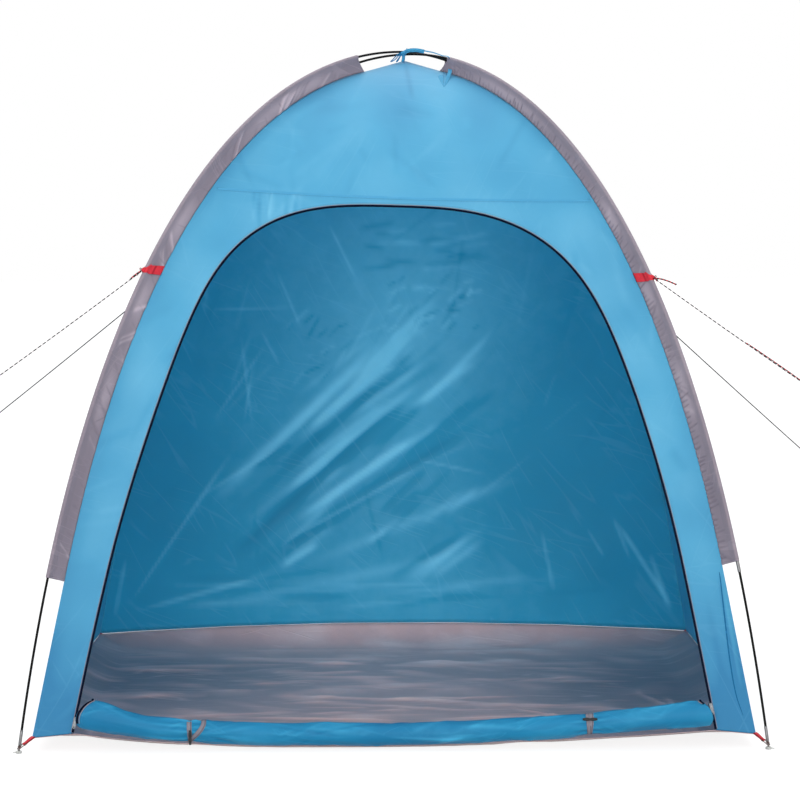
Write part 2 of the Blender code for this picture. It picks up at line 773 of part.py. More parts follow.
def rolled_door():
    """The door panel, rolled down to a soft sausage on the sill."""
    ends = [ROLL_HALF_LENGTH * share for share in (0.94, 0.985, 1.0)]
    spots = [-x for x in reversed(ends)]
    fill = [ROLL_HALF_LENGTH * (-0.86 + 0.075 * index) for index in range(24)]
    for tie in (TIE_LEFT_X, TIE_RIGHT_X):
        fill = [x for x in fill if abs(x - tie) > TIE_PINCH_REACH * 1.8]
        fill += [tie - TIE_PINCH_REACH, tie - TIE_WIDTH / 2, tie + TIE_WIDTH / 2, tie + TIE_PINCH_REACH]
    spots += sorted(fill) + ends
    points = [Vector((x, ROLL_Y, roll_centre(x))) for x in spots]
    return tube("rolled_door", points, [roll_radius(x) for x in spots], DOOR_BLUE, resolution=4)


def door_tie(label, x):
    """A webbing band round the roll."""
    slope = (roll_centre(x + TIE_WIDTH / 2.0) - roll_centre(x - TIE_WIDTH / 2.0)) / TIE_WIDTH
    inner = roll_radius(x) + TIE_EASE
    outer = inner + TIE_THICKNESS
    band = flat_curve(f"door_tie_{label}", [circle(outer, 18), circle(inner, 18)], TIE_WIDTH / 2.0, TIE_GREY)
    band.matrix_world = (
        Matrix.Translation((x, ROLL_Y, roll_centre(x)))
        @ Matrix.Rotation(-math.atan(slope), 4, "Y")
        @ Matrix.Rotation(math.pi / 2.0, 4, "Y")
    )
    return band


def toggle(label, x, drop, turn, upright):
    """A barrel toggle on the front of its tie, turned up round the roll; its origin is the stitch it turns on."""
    half = TOGGLE_LENGTH / 2.0
    spots = [-1.0, -0.9, -0.25, 0.0, 0.25, 0.9, 1.0]
    widths = [0.55, 0.85, 1.0, 0.8, 1.0, 0.85, 0.55]
    points = [Vector((0.0, 0.0, spot * half) if upright else (spot * half, 0.0, 0.0)) for spot in spots]
    barrel = tube(f"toggle_{label}", points, [TOGGLE_RADIUS * w for w in widths], TOGGLE_BLACK, resolution=2)
    away = roll_radius(x) + TIE_EASE + TIE_THICKNESS + GAP + TOGGLE_RADIUS
    barrel.location = (x, ROLL_Y - away * math.cos(turn), roll_centre(x) + away * math.sin(turn) - drop)
    return barrel


def loop_frame():
    """The loop's two ends, round the spike and in the strap's eye; the corner; and the way inwards."""
    spike = Vector((FOOT_OUT - LOOP_HEIGHT * math.tan(FOOT_LEAN), LOOP_HEIGHT))
    corner = Vector((CORNER_OUT, CORNER_HEIGHT))
    inwards = (corner - spike).normalized()
    return spike, spike + inwards * LOOP_LENGTH, corner, inwards


def corner_loop(leg):
    """A cord loop through the strap's eye and round the spike."""
    spike, _, _, inwards = loop_frame()
    slant = math.cos(FOOT_LEAN + math.acos(min(abs(inwards.x), 1.0)))
    turn_radius = (SPIKE_RADIUS + LOOP_CORD_RADIUS + GAP) / slant / math.cos(math.pi / 12.0)
    wide = STRAP_WIDTH / 2.0 + LOOP_CORD_RADIUS + 2.0 * GAP
    path = []
    for step in range(7):
        angle = math.pi * step / 6.0
        path.append((-turn_radius * math.sin(angle), turn_radius * math.cos(angle)))
    path += [(LOOP_LENGTH * 0.6, -wide), (LOOP_LENGTH, -wide), (LOOP_LENGTH, wide), (LOOP_LENGTH * 0.6, wide)]
    points = []
    for along, across in path:
        spot = spike + inwards * along
        points.append(place(leg, spot.x, spot.y, across))
    radii = [LOOP_CORD_RADIUS] * len(points)
    return tube(f"corner_loop_{leg.name}", points, radii, CORD_BROWN, closed=True)


def corner_strap(leg):
    """Webbing from the fabric's corner, folded round the cord loop and back."""
    _, eye, corner, _ = loop_frame()
    length = (corner - eye).length - STRAP_END_GAP
    turns = [math.radians(angle) for angle in range(40, 321, 40)]
    outer = STRAP_EYE_RADIUS + STRAP_THICKNESS
    between = GAP / 2.0
    over = STRAP_THICKNESS + between
    outline = [(length, over)]
    outline += [(math.cos(a) * outer, math.sin(a) * outer) for a in turns]
    outline += [(length, -over), (length, -between)]
    outline += [(math.cos(a) * STRAP_EYE_RADIUS, math.sin(a) * STRAP_EYE_RADIUS) for a in reversed(turns)]
    outline += [(length, between)]
    strap = flat_curve(f"corner_strap_{leg.name}", [outline], STRAP_WIDTH / 2.0, STRAP_RED)
    origin = place(leg, eye.x, eye.y)
    along = (place(leg, corner.x, corner.y) - origin).normalized()
    across = Vector((-leg.side_y, leg.side_x, 0.0)) / ROOT_2
    across = (across - along * across.dot(along)).normalized()
    turn = Matrix((along, across.cross(along), across)).transposed().to_4x4()
    strap.matrix_world = Matrix.Translation(origin) @ turn
    return strap


def guy_rope(leg, at, reach, drop):
    """A taut guy rope from its patch, outward in line with the leg and down."""
    pole = along_line(STATIONS, LIFTED[leg.lift], at)
    seam = along_line(STATIONS, SEAM_LINE, at)
    start = pole + (pole - seam).normalized() * (PATCH_INNER + PATCH_THICKNESS + GAP + GUY_RADIUS)
    points = []
    for step in range(GUY_POINTS + 1):
        share = step / GUY_POINTS
        sag = GUY_SAG * 4.0 * share * (1.0 - share)
        points.append(place(leg, start.x + reach * share, start.y - drop * share - sag))
    return tube(f"guy_rope_{leg.name}", points, [GUY_RADIUS] * len(points), CORD_DARK, resolution=2)


def crossing_tape():
    """Tape from the peak, round both poles where they cross, and back."""
    over = CROSSING_HEIGHT + CROSSING_OFFSET + ROD_RADIUS
    low = PEAK_HEIGHT + GAP + TAPE_THICKNESS
    high = over + TAPE_EASE
    half_height = (high - low) / 2.0
    squash = half_height / TAPE_HALF_WIDTH
    outer_squash = (half_height + TAPE_THICKNESS) / (TAPE_HALF_WIDTH + TAPE_THICKNESS)
    outlines = [circle(TAPE_HALF_WIDTH + TAPE_THICKNESS, 20, squash=outer_squash),
                circle(TAPE_HALF_WIDTH, 20, squash=squash)]
    tape = flat_curve("crossing_tape", outlines, TAPE_BREADTH / 2.0, TAPE_BLUE)
    tape.matrix_world = (
        Matrix.Translation((TOP_SHIFT, 0.0, (high + low) / 2.0)) @ Matrix.Rotation(math.pi / 2.0, 4, "X")
    )
    return tape


def main():
    for leg_a, leg_b, name in ((LEGS[0], LEGS[2], "pole_left"), (LEGS[1], LEGS[3], "pole_right")):
        pole_sections(leg_a, leg_b, name)
    stops = stops_between(SLEEVE_START, SLEEVE_STOP)
    for leg in LEGS:
        foot_cap(leg)
        at, reach, drop = GUYS[leg.name]
        patch_stops = stops_between(at - PATCH_HEIGHT / 2.0, at + PATCH_HEIGHT / 2.0)
        folded_cloth(f"sleeve_{leg.name}", leg, stops, SLEEVE_INNER, SLEEVE_WEB_HALF, GAP * 2.0,
                     SLEEVE_CLOTH, SLEEVE_GREY)
        folded_cloth(f"guy_patch_{leg.name}", leg, patch_stops, PATCH_INNER, PATCH_WEB_HALF, PATCH_INSET,
                     PATCH_THICKNESS, STRAP_RED)
        corner_loop(leg)
        corner_strap(leg)
        guy_rope(leg, at, reach, drop)
    side_trim = CLOTH * 1.15 + GAP
    front = wall("front_wall", LEGS[0], LEGS[1], FRONT_HEM_RISE, 0.0)
    cut_with(front, door_cutter())
    wall("right_wall", LEGS[1], LEGS[2], SIDE_HEM_RISE, side_trim)
    wall("back_wall", LEGS[2], LEGS[3], BACK_HEM_RISE, 0.0)
    wall("left_wall", LEGS[3], LEGS[0], SIDE_HEM_RISE, side_trim)
    groundsheet()
    path = zip_path(ZIP_FOOT)
    tube("door_zip", path, [ZIP_RADIUS] * len(path), ZIP_BLACK)
    for side, label in ((-1, "left"), (1, "right")):
        zip_pull(zip_slider(side, label), label)
    rolled_door()
    door_tie("left", TIE_LEFT_X)
    door_tie("right", TIE_RIGHT_X)
    toggle("left", TIE_LEFT_X, LEFT_TOGGLE_DROP, 0.0, True)
    toggle("right", TIE_RIGHT_X, 0.0, RIGHT_TOGGLE_TURN, False)
    crossing_tape()


main()
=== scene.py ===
"""Looks of the storage tent: cloth, sleeves, poles, zip, ropes and their finishes, round the fixed frame."""
import math

import bpy
import numpy as np
from mathutils import Matrix, Vector


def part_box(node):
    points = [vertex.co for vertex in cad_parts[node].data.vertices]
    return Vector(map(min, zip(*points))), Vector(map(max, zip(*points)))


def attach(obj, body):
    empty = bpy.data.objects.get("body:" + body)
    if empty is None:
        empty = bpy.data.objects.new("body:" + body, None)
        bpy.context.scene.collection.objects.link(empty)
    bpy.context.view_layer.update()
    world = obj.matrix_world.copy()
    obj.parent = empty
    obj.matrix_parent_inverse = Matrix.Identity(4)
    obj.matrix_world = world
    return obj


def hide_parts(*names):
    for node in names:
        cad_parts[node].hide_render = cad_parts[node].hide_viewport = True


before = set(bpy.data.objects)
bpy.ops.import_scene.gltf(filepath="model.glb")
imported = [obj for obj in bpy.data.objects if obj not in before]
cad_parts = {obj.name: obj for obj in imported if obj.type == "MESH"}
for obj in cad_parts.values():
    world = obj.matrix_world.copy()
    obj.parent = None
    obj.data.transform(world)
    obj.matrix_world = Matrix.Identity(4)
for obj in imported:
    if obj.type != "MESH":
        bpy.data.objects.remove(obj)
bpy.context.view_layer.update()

# Sizes shared with the solids, in metres
GAP = 0.0003
FOOT_HALF = 0.953
CROSSING_HEIGHT = 1.806
FOOT_LEAN = math.radians(10.1)
LOWER_REACH = 1.66
TOP_REACH = 0.31
TOP_SHIFT = 0.040
ROD_RADIUS = 0.00325
FERRULE_RADIUS = 0.0044
FERRULE_LENGTH = 0.070
END_SECTION = 0.490
SECTIONS = 9
TIP_RADIUS = 0.0040
TIP_LENGTH = 0.038
SPIKE_RADIUS = 0.0020
SPIKE_LENGTH = 0.020
CAP_RADIUS = 0.0080
CAP_HEIGHT = 0.0065
CAP_FLOOR = 0.0020
SLEEVE_WIDTH_LOW = 0.056
SLEEVE_WIDTH_TOP = 0.040
SLEEVE_START = 0.462
SLEEVE_STOP_FROM_CROSSING = 0.150
SLEEVE_INNER = 0.0050
CORNER_HALF = 0.923
CORNER_HEIGHT = 0.034
PEAK_HEIGHT = 1.784
PEAK_HALF = 0.003
HEM_GAP = 0.0007
FRONT_HEM_RISE = 0.045
BACK_HEM_RISE = 0.032
SIDE_HEM_RISE = 0.020
HEM_SHARES = (-1.0, -0.88, -0.56, -0.2, 0.2, 0.56, 0.88, 1.0)
SIDE_SLOPE_WIDTH = 0.110
BACK_SLOPE_WIDTH = 0.055
LIP_WIDTH = 0.028
LIP_WIDTH_GAIN = 0.190
LIP_MIDDLE = 0.010
LEFT_LIFT_POWER = 3.3
RIGHT_LIFT_POWER = 1.6
DOOR_TOP = 1.382
DOOR_STRIP = 0.098
DOOR_STRIP_GAIN = 0.020
DOOR_TILT = 0.035
DOOR_ROUNDING = 0.328
WAIST_HEIGHT = 0.962
# For the left and the right side: how square the arch is, how much narrower it is half way up,
# and how far up and down that reaches
DOOR_SIDES = {-1.0: (16.8, 0.0266, 0.45), 1.0: (14.1, 0.0121, 0.36)}
ROLL_RADIUS = 0.029
ROLL_HALF_LENGTH = 0.800
ROLL_END_RISE = 0.050
ROLL_Y = -0.927
TIE_LEFT_X = -0.517
TIE_RIGHT_X = 0.499
TIE_PINCH = 0.0045
TIE_PINCH_REACH = 0.030
TOGGLE_LENGTH = 0.030
TOGGLE_RADIUS = 0.0035
LOOP_HEIGHT = 0.0125
LOOP_LENGTH = 0.018
LOOP_CORD_RADIUS = 0.0012
GUY_SAG = 0.002
# For each rope: the length up the leg where its patch sits, how far it reaches out and how far it drops
GUYS = {
    "front_left": (1.290, 0.504, 0.280),
    "front_right": (1.260, 0.520, 0.260),
    "back_right": (1.180, 0.960, 0.570),
    "back_left": (1.240, 0.920, 0.521),
}

ROOT_2 = math.sqrt(2.0)
FOOT_OUT = FOOT_HALF * ROOT_2
CORNER_OUT = CORNER_HALF * ROOT_2
CROSSING_OFFSET = ROD_RADIUS + GAP
CLOTH = 0.0006

# For each leg: its side in x, its side in y, and +1 where its pole passes over the other one
LEGS = {
    "front_left": (-1, -1, 1),
    "front_right": (1, -1, -1),
    "back_right": (1, 1, 1),
    "back_left": (-1, 1, -1),
}
DOOR_SHARE = HEM_SHARES[-2]
DOOR_FOOT = 0.047
FACING = np.array([0.0, -1.0, 0.0])


# Lines and shares

def blend_in(share):
    """0 to 1 with soft ends."""
    share = np.clip(share, 0.0, 1.0)
    return share * share * (3.0 - 2.0 * share)


def bell(gap, width):
    """1 where the gap is 0, fading over the width to both sides."""
    return np.exp(-(gap / width) ** 2)


def unit(vectors):
    return vectors / np.linalg.norm(vectors, axis=-1, keepdims=True)


def quarter_turn(run):
    return np.stack([run[..., 1], -run[..., 0]], axis=-1)


def distances(points):
    """How far along a line each of its points lies."""
    return np.concatenate(([0.0], np.cumsum(np.linalg.norm(np.diff(points, axis=0), axis=1))))


def resampled(points, count):
    """The same line with evenly spaced points."""
    steps = distances(points)
    wanted = np.linspace(0.0, steps[-1], count)
    return np.stack([np.interp(wanted, steps, points[:, k]) for k in range(points.shape[1])], axis=-1)


# Shapes of the frame and the cloth

def bezier(count):
    """The leg's line in distance out and height, from its foot to the crossing."""
    s = np.linspace(0.0, 1.0, count)[:, None]
    t = 1.0 - s
    ends = np.array([
        (FOOT_OUT, 0.0),
        (FOOT_OUT - LOWER_REACH * math.sin(FOOT_LEAN), LOWER_REACH * math.cos(FOOT_LEAN)),
        (TOP_REACH, CROSSING_HEIGHT),
        (0.0, CROSSING_HEIGHT),
    ])
    return t ** 3 * ends[0] + 3 * t ** 2 * s * ends[1] + 3 * t * s * s * ends[2] + s ** 3 * ends[3]


BEND = bezier(1201)
BEND_LENGTHS = distances(BEND)
HALF_LENGTH = float(BEND_LENGTHS[-1])
MIDDLE_SECTION = 2.0 * (HALF_LENGTH - END_SECTION) / (SECTIONS - 2)
JOINTS = [END_SECTION + MIDDLE_SECTION * index for index in range((SECTIONS - 1) // 2)]
SLEEVE_STOP = HALF_LENGTH - SLEEVE_STOP_FROM_CROSSING


def bend_at(length):
    """Distance out and height of the leg's line, at lengths up the leg."""
    return np.stack([np.interp(length, BEND_LENGTHS, BEND[:, k]) for k in (0, 1)], axis=-1)


def bend_normal(length):
    """The way outwards from the leg's line, in its own plane."""
    length, step = np.asarray(length, float), 0.004
    above, below = np.minimum(length + step, HALF_LENGTH), np.maximum(length - step, 0.0)
    return quarter_turn(unit(bend_at(above) - bend_at(below)))


def sleeve_width(length):
    return SLEEVE_WIDTH_LOW + (SLEEVE_WIDTH_TOP - SLEEVE_WIDTH_LOW) * np.asarray(length) / HALF_LENGTH


def seam_at(length):
    return bend_at(length) - bend_normal(length) * sleeve_width(length)[..., None]


def pole_at(leg, length):
    """The leg's line, moved where its pole passes over or under the other one."""
    spot = bend_at(length)
    near = 1.0 - spot[..., 0] / FOOT_OUT
    spot[..., 1] += LEGS[leg][2] * CROSSING_OFFSET * near * near
    return spot


def place(leg, out, height, across=0.0):
    """Points in space from the distance out, the height and the distance across the leg's plane."""
    side_x, side_y, _ = LEGS[leg]
    out, height, across = np.broadcast_arrays(*(np.asarray(v, float) for v in (out, height, across)))
    shift = TOP_SHIFT * (1.0 - out / FOOT_OUT)
    x = (side_x * out - side_y * across) / ROOT_2 + shift
    y = (side_y * out + side_x * across) / ROOT_2
    return np.stack([x, y, height], axis=-1)


HIP = np.vstack([
    [CORNER_OUT, CORNER_HEIGHT],
    seam_at(np.linspace(SLEEVE_START, SLEEVE_STOP, 160)),
    [PEAK_HALF * ROOT_2, PEAK_HEIGHT],
])
HIP = np.vstack([HIP[0] + (HIP[0] - HIP[1]) * 0.2, HIP])


def hip_out(height):
    return np.interp(height, HIP[:, 1], HIP[:, 0])


def wall_half(height):
    return hip_out(height) / ROOT_2


def middle_shift(height):
    return TOP_SHIFT * (1.0 - hip_out(height) / FOOT_OUT)


def hem_height(u, rise):
    stops = np.array(HEM_SHARES)
    return np.interp(u, stops, CORNER_HEIGHT + rise * (1.0 - stops * stops))


def side_lift(share):
    share = np.asarray(share, float)
    return np.abs(share) ** np.where(share < 0.0, LEFT_LIFT_POWER, RIGHT_LIFT_POWER)


def lip_height(u):
    edge = hem_height(DOOR_SHARE, FRONT_HEM_RISE) - HEM_GAP
    inner = LIP_MIDDLE + (edge - LIP_MIDDLE) * side_lift(u / DOOR_SHARE)
    return np.where(np.abs(u) >= DOOR_SHARE, hem_height(np.abs(u), FRONT_HEM_RISE) - HEM_GAP, inner)


def door_half(height, side):
    _, waist, reach = DOOR_SIDES[side]
    strip = DOOR_STRIP + DOOR_STRIP_GAIN * (height / DOOR_TOP) ** 6
    return wall_half(height) - strip - waist * bell(height - WAIST_HEIGHT, reach)


def arch_outline(foot=DOOR_FOOT, count=520, inset=0.0):
    """The door's outline in x and z, from its left foot over the top to its right foot."""
    leg_top = DOOR_TOP * 0.65
    sides = []
    for sign in (-1.0, 1.0):
        squareness = DOOR_SIDES[sign][0]
        low = np.linspace(foot, leg_top, 120)[:-1]
        angle = np.linspace(math.asin((leg_top / DOOR_TOP) ** (squareness / 2.0)), math.pi / 2.0, 200)
        heights = np.concatenate([low, DOOR_TOP * np.sin(angle) ** (2.0 / squareness)])
        round_part = np.maximum(np.cos(angle), 0.0) ** (2.0 * DOOR_ROUNDING)
        narrowing = np.concatenate([np.ones_like(low), round_part])
        x = middle_shift(heights) + sign * door_half(heights, sign) * narrowing
        sides.append(np.stack([x, heights - DOOR_TILT * x * (heights / DOOR_TOP) ** 6], axis=-1))
    line = resampled(np.vstack([sides[0], sides[1][::-1][1:]]), count)
    return line + quarter_turn(unit(np.gradient(line, axis=0))) * inset


def roll_centre(x):
    return LIP_MIDDLE + GAP + ROLL_RADIUS + ROLL_END_RISE * side_lift(np.asarray(x) / ROLL_HALF_LENGTH)


def roll_size(x):
    """The roll's radius without its folds: pinched at its two ties."""
    pinches = bell(x - TIE_LEFT_X, TIE_PINCH_REACH) + bell(x - TIE_RIGHT_X, TIE_PINCH_REACH)
    return ROLL_RADIUS - TIE_PINCH * pinches


# Folds

def ridges(px, py, lines):
    """Soft ridges along straight lines, each given by its two ends, its width and its height."""
    total = np.zeros_like(px)
    for x0, y0, x1, y1, width, height in lines:
        length = math.hypot(x1 - x0, y1 - y0)
        dx, dy = (x1 - x0) / length, (y1 - y0) / length
        along = ((px - x0) * dx + (py - y0) * dy) / length
        across = ((py - y0) * dx - (px - x0) * dy) / width
        near = np.abs(across) < 3.2
        fade = blend_in(along[near] / 0.3) * blend_in((1.0 - along[near]) / 0.3)
        total[near] += height * fade * bell(across[near], 1.0)
    return total


def scattered(seed, count, low, high, lengths, widths, heights, angle, spread):
    """Random ridges in a box, most of them near one angle in degrees."""
    draw = np.random.default_rng(seed)
    lines = []
    for _ in range(count):
        x, y = draw.uniform(low[0], high[0]), draw.uniform(low[1], high[1])
        turn = math.radians(angle + spread * draw.normal())
        reach = draw.uniform(*lengths) / 2.0
        dx, dy = math.cos(turn) * reach, math.sin(turn) * reach
        height = draw.uniform(*heights) * (1.0 if draw.random() < 0.6 else -1.0)
        lines.append((x - dx, y - dy, x + dx, y + dy, draw.uniform(*widths), height))
    return lines


def swell(px, py, seed, size, height):
    """Slow uneven swelling of a stretched cloth."""
    draw = np.random.default_rng(seed)
    total = np.zeros_like(px)
    for _ in range(7):
        turn = draw.uniform(0.0, math.tau)
        reach = size * draw.uniform(0.6, 1.6)
        along = px * math.cos(turn) + py * math.sin(turn)
        total += np.sin(along * math.tau / reach + draw.uniform(0, math.tau))
    return total * height / 3.5


def painted_spots(px, py, patches):
    """Soft spots of painted light and shade, each given by its middle, its half width and height, and its
    amount.
    """
    return sum(amount * bell(px - x, wide) * bell(py - y, high) for x, y, wide, high, amount in patches)


def fold_light_and_shade(relief, height):
    """How far each point stands on a fold, from -1 to 1: used to paint highlights on raised folds and shade
    in hollows.
    """
    return np.clip(relief / height, -1.0, 1.0)


# Meshes and pieces

def add_piece(name, mesh, materials, slot, body="tent", replaces=None):
    """Link a finished mesh as a piece that rides on a body."""
    mesh.name = name
    for material in materials:
        mesh.materials.append(material)
    mesh.polygons.foreach_set("use_smooth", np.full(len(mesh.polygons), True))
    obj = bpy.data.objects.new(name, mesh)
    bpy.context.scene.collection.objects.link(obj)
    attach(obj, body)
    if replaces:
        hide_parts(replaces)
    return obj


def mesh_from(points, faces, uv=None, finish=None, painted_shading=None):
    """A mesh from points and faces; for each point its place on the cloth in metres and its painted light and
    shade.
    """
    mesh = bpy.data.meshes.new("mesh")
    mesh.from_pydata(np.asarray(points).tolist(), [], faces)
    if uv is not None:
        index = np.empty(len(mesh.loops), int)
        mesh.loops.foreach_get("vertex_index", index)
        mesh.uv_layers.new(name="UVMap").data.foreach_set("uv", np.asarray(uv, float)[index].ravel())
    if finish is not None:
        mesh.polygons.foreach_set("material_index", np.asarray(finish, int))
    mesh.validate()
    if painted_shading is not None:
        # The fold attribute holds the painted highlight and shade
        fold = mesh.attributes.new("fold", "FLOAT", "POINT")
        fold.data.foreach_set("value", np.asarray(painted_shading, float).ravel())
    return mesh


def grid_faces(rows, cols, wrap=False):
    low = np.arange(rows - 1)[:, None] * cols
    here = np.arange(cols if wrap else cols - 1)[None, :]
    after = (here + 1) % cols
    quads = np.stack([low + here, low + after, low + cols + after, low + cols + here], axis=-1)
    return quads.reshape(-1, 4).tolist()


def tube_faces(rows, sides):
    """Faces of a tube of rings and its two ends."""
    last = (rows - 1) * sides
    return grid_faces(rows, sides, wrap=True) + [list(range(sides))[::-1], list(range(last, last + sides))]


def cloth_piece(name, points, uv, materials, slot, painted_shading, thickness=CLOTH):
    """A cloth through a grid of points; across, then up, turns to its outside. Its wall grows inwards."""
    rows, cols = points.shape[:2]
    painted_shading = np.clip(painted_shading, -1.0, 1.0)
    mesh = mesh_from(points.reshape(-1, 3), grid_faces(rows, cols), uv.reshape(-1, 2), painted_shading=painted_shading)
    obj = add_piece(name + "_cloth", mesh, materials, slot, replaces=name)
    wall = obj.modifiers.new("wall", "SOLIDIFY")
    wall.thickness = thickness
    wall.offset = -1.0
    wall.material_offset = len(materials) - 1
    return obj


def sweep(points, outline, scale=1.0, up=None, closed=False):
    """Points, faces and places of a section carried along a line. up keeps one side of it upwards."""
    points = np.asarray(points, float)
    count, sides = len(points), len(outline)
    run = np.roll(points, -1, axis=0) - np.roll(points, 1, axis=0) if closed else np.gradient(points, axis=0)
    run = unit(run)
    if up is None:
        way_up = np.array([0.0, 0.0, 1.0]) if abs(run[0][2]) < 0.9 else np.array([1.0, 0.0, 0.0])
        tops = []
        for way in run:
            way_up = unit(way_up - way * way_up.dot(way))
            tops.append(way_up)
        top = np.array(tops)
    else:
        top = np.broadcast_to(np.asarray(up, float), points.shape)
        top = unit(top - run * (top * run).sum(axis=1, keepdims=True))
    side = np.cross(top, run)
    scale = np.broadcast_to(np.asarray(scale, float).reshape(-1, 1 if np.ndim(scale) < 2 else 2), (count, 2))
    ring = outline[None, :, :] * scale[:, None, :]
    verts = points[:, None, :] + side[:, None, :] * ring[..., :1] + top[:, None, :] * ring[..., 1:]
    around = distances(np.vstack([outline, outline[:1]]))[:-1]
    uv = np.stack(np.broadcast_arrays(around[None, :], distances(points)[:, None]), axis=-1)
    faces = tube_faces(count, sides)
    if closed:
        last = (count - 1) * sides
        faces[-2:] = [[last + j, last + (j + 1) % sides, (j + 1) % sides, j] for j in range(sides)]
    return verts.reshape(-1, 3), faces, uv.reshape(-1, 2)


def round_section(sides, radius=1.0):
    turns = np.linspace(0.0, math.tau, sides, endpoint=False)
    return np.stack([np.cos(turns), np.sin(turns)], axis=-1) * radius


def flat_section(width, thickness):
    """A thin strap's section with rounded edges."""
    w, t = width / 2.0, thickness / 2.0
    upper = [(w, 0), (w - t * 0.5, t), (w * 0.5, t), (0, t), (-w * 0.5, t), (-w + t * 0.5, t)]
    return np.array(upper + [(-x, -z) for x, z in upper])


def wide_only(wide):
    """A scale for a section's width alone."""
    return np.stack([wide, np.ones_like(wide)], axis=-1)


def swept_piece(name, parts, material, slot, **facts):
    """One piece from one or more sweeps."""
    points, faces, places, start = [], [], [], 0
    for verts, part_faces, uv in parts:
        points.append(verts)
        places.append(uv)
        faces += [[start + index for index in face] for face in part_faces]
        start += len(verts)
    mesh = mesh_from(np.vstack(points), faces, np.vstack(places))
    return add_piece(name, mesh, [material], slot, **facts)


def smooth_line(points, steps=8, closed=False):
    """A rounded line through a few points."""
    points = np.asarray(points, float)
    if closed:
        padded = np.vstack([points[-1:], points, points[:2]])
    else:
        padded = np.vstack([2 * points[0] - points[1], points, 2 * points[-1] - points[-2]])
    line = []
    for a, b, c, d in zip(padded, padded[1:], padded[2:], padded[3:]):
        for t in np.linspace(0.0, 1.0, steps, endpoint=False):
            bent = (2 * a - 5 * b + 4 * c - d) * t * t + (3 * b - a - 3 * c + d) * t ** 3
            line.append(0.5 * (2 * b + (c - a) * t + bent))
    if not closed:
        line.append(points[-1])
    return np.array(line)


# Nodes

class Nodes:
    """Short calls for the nodes of one tree."""

    def __init__(self, tree):
        self.tree = tree

    def put(self, socket, value):
        if isinstance(value, bpy.types.NodeSocket):
            self.tree.links.new(value, socket)
        elif isinstance(value, bpy.types.Node):
            self.tree.links.new(value.outputs[0], socket)
        else:
            socket.default_value = value

    def add(self, kind, inputs=None, **settings):
        node = self.tree.nodes.new(kind)
        for key, value in settings.items():
            setattr(node, key, value)
        for key, value in (inputs or {}).items():
            self.put(node.inputs[key], value)
        return node

    def math(self, kind, a, b=0.0, clamp=False):
        return self.add("ShaderNodeMath", {0: a, 1: b}, operation=kind, use_clamp=clamp)

    def seen(self):
        """1 for what the camera sees, also in a gloss or through something."""
        path = self.add("ShaderNodeLightPath").outputs
        return self.math("MAXIMUM", self.math("MAXIMUM", path["Is Camera Ray"], path["Is Glossy Ray"]),
                         path["Is Transmission Ray"])


# Rows of stitches and teeth: the pitch, the length and the radius of their bars
SLEEVE_STITCH = (0.0042, 0.0026, 0.00035)
DOOR_STITCH = (0.0045, 0.0028, 0.00035)
SEAM_STITCH = (0.0042, 0.0027, 0.0004)
ZIP_TEETH = (0.0017, 0.0008, 0.0011)
ROW_SIZES = ("Pitch", "Bar Length", "Bar Radius")


def row_tree():
    """Geometry nodes: short round bars at an even pitch along a line."""
    tree = bpy.data.node_groups.new("bars_along_a_line", "GeometryNodeTree")
    socket = tree.interface.new_socket
    socket("Geometry", in_out="INPUT", socket_type="NodeSocketGeometry")
    for label, size in zip(ROW_SIZES, (0.0045, 0.003, 0.0004)):
        socket(label, in_out="INPUT", socket_type="NodeSocketFloat").default_value = size
    socket("Finish", in_out="INPUT", socket_type="NodeSocketMaterial")
    socket("Geometry", in_out="OUTPUT", socket_type="NodeSocketGeometry")
    row = Nodes(tree)
    given = row.add("NodeGroupInput").outputs
    guide = row.add("GeometryNodeMeshToCurve", {"Mesh": given["Geometry"]})
    spaced = row.add("GeometryNodeResampleCurve", {"Curve": guide, "Length": given["Pitch"]}, mode="LENGTH")
    tangent = row.add("GeometryNodeInputTangent")
    turn = row.add("FunctionNodeAlignRotationToVector", {"Vector": tangent}, axis="Z")
    bar = row.add("GeometryNodeMeshCylinder", {"Vertices": 6, "Depth": given["Bar Length"],
                                               "Radius": given["Bar Radius"]})
    bars = row.add("GeometryNodeInstanceOnPoints", {"Points": spaced, "Instance": bar, "Rotation": turn})
    real = row.add("GeometryNodeRealizeInstances", {"Geometry": bars})
    finished = row.add("GeometryNodeSetMaterial", {"Geometry": real, "Material": given["Finish"]})
    row.add("NodeGroupOutput", {"Geometry": finished})
    return tree


ROW_TREE = row_tree()


def bars_along(name, lines, sizes, material, slot):
    """One piece of bars along one or more lines: stitches, or the turns of a zip's coil."""
    points, edges = [], []
    for line in lines:
        edges += [(len(points) + i, len(points) + i + 1) for i in range(len(line) - 1)]
        points += np.asarray(line).tolist()
    guide_mesh = bpy.data.meshes.new(name + "_guide")
    guide_mesh.from_pydata(points, edges, [])
    guide = bpy.data.objects.new(name + "_guide", guide_mesh)
    bpy.context.scene.collection.objects.link(guide)
    row = guide.modifiers.new("row", "NODES")
    row.node_group = ROW_TREE
    values = dict(zip(ROW_SIZES, sizes), Finish=material)
    for socket in ROW_TREE.interface.items_tree:
        if socket.in_out == "INPUT" and socket.name in values:
            row[socket.identifier] = values[socket.name]
    bpy.context.view_layer.update()
    mesh = bpy.data.meshes.new_from_object(guide.evaluated_get(bpy.context.evaluated_depsgraph_get()))
    bpy.data.objects.remove(guide, do_unlink=True)
    mesh.materials.clear()
    return add_piece(name, mesh, [material], slot)


# Finishes

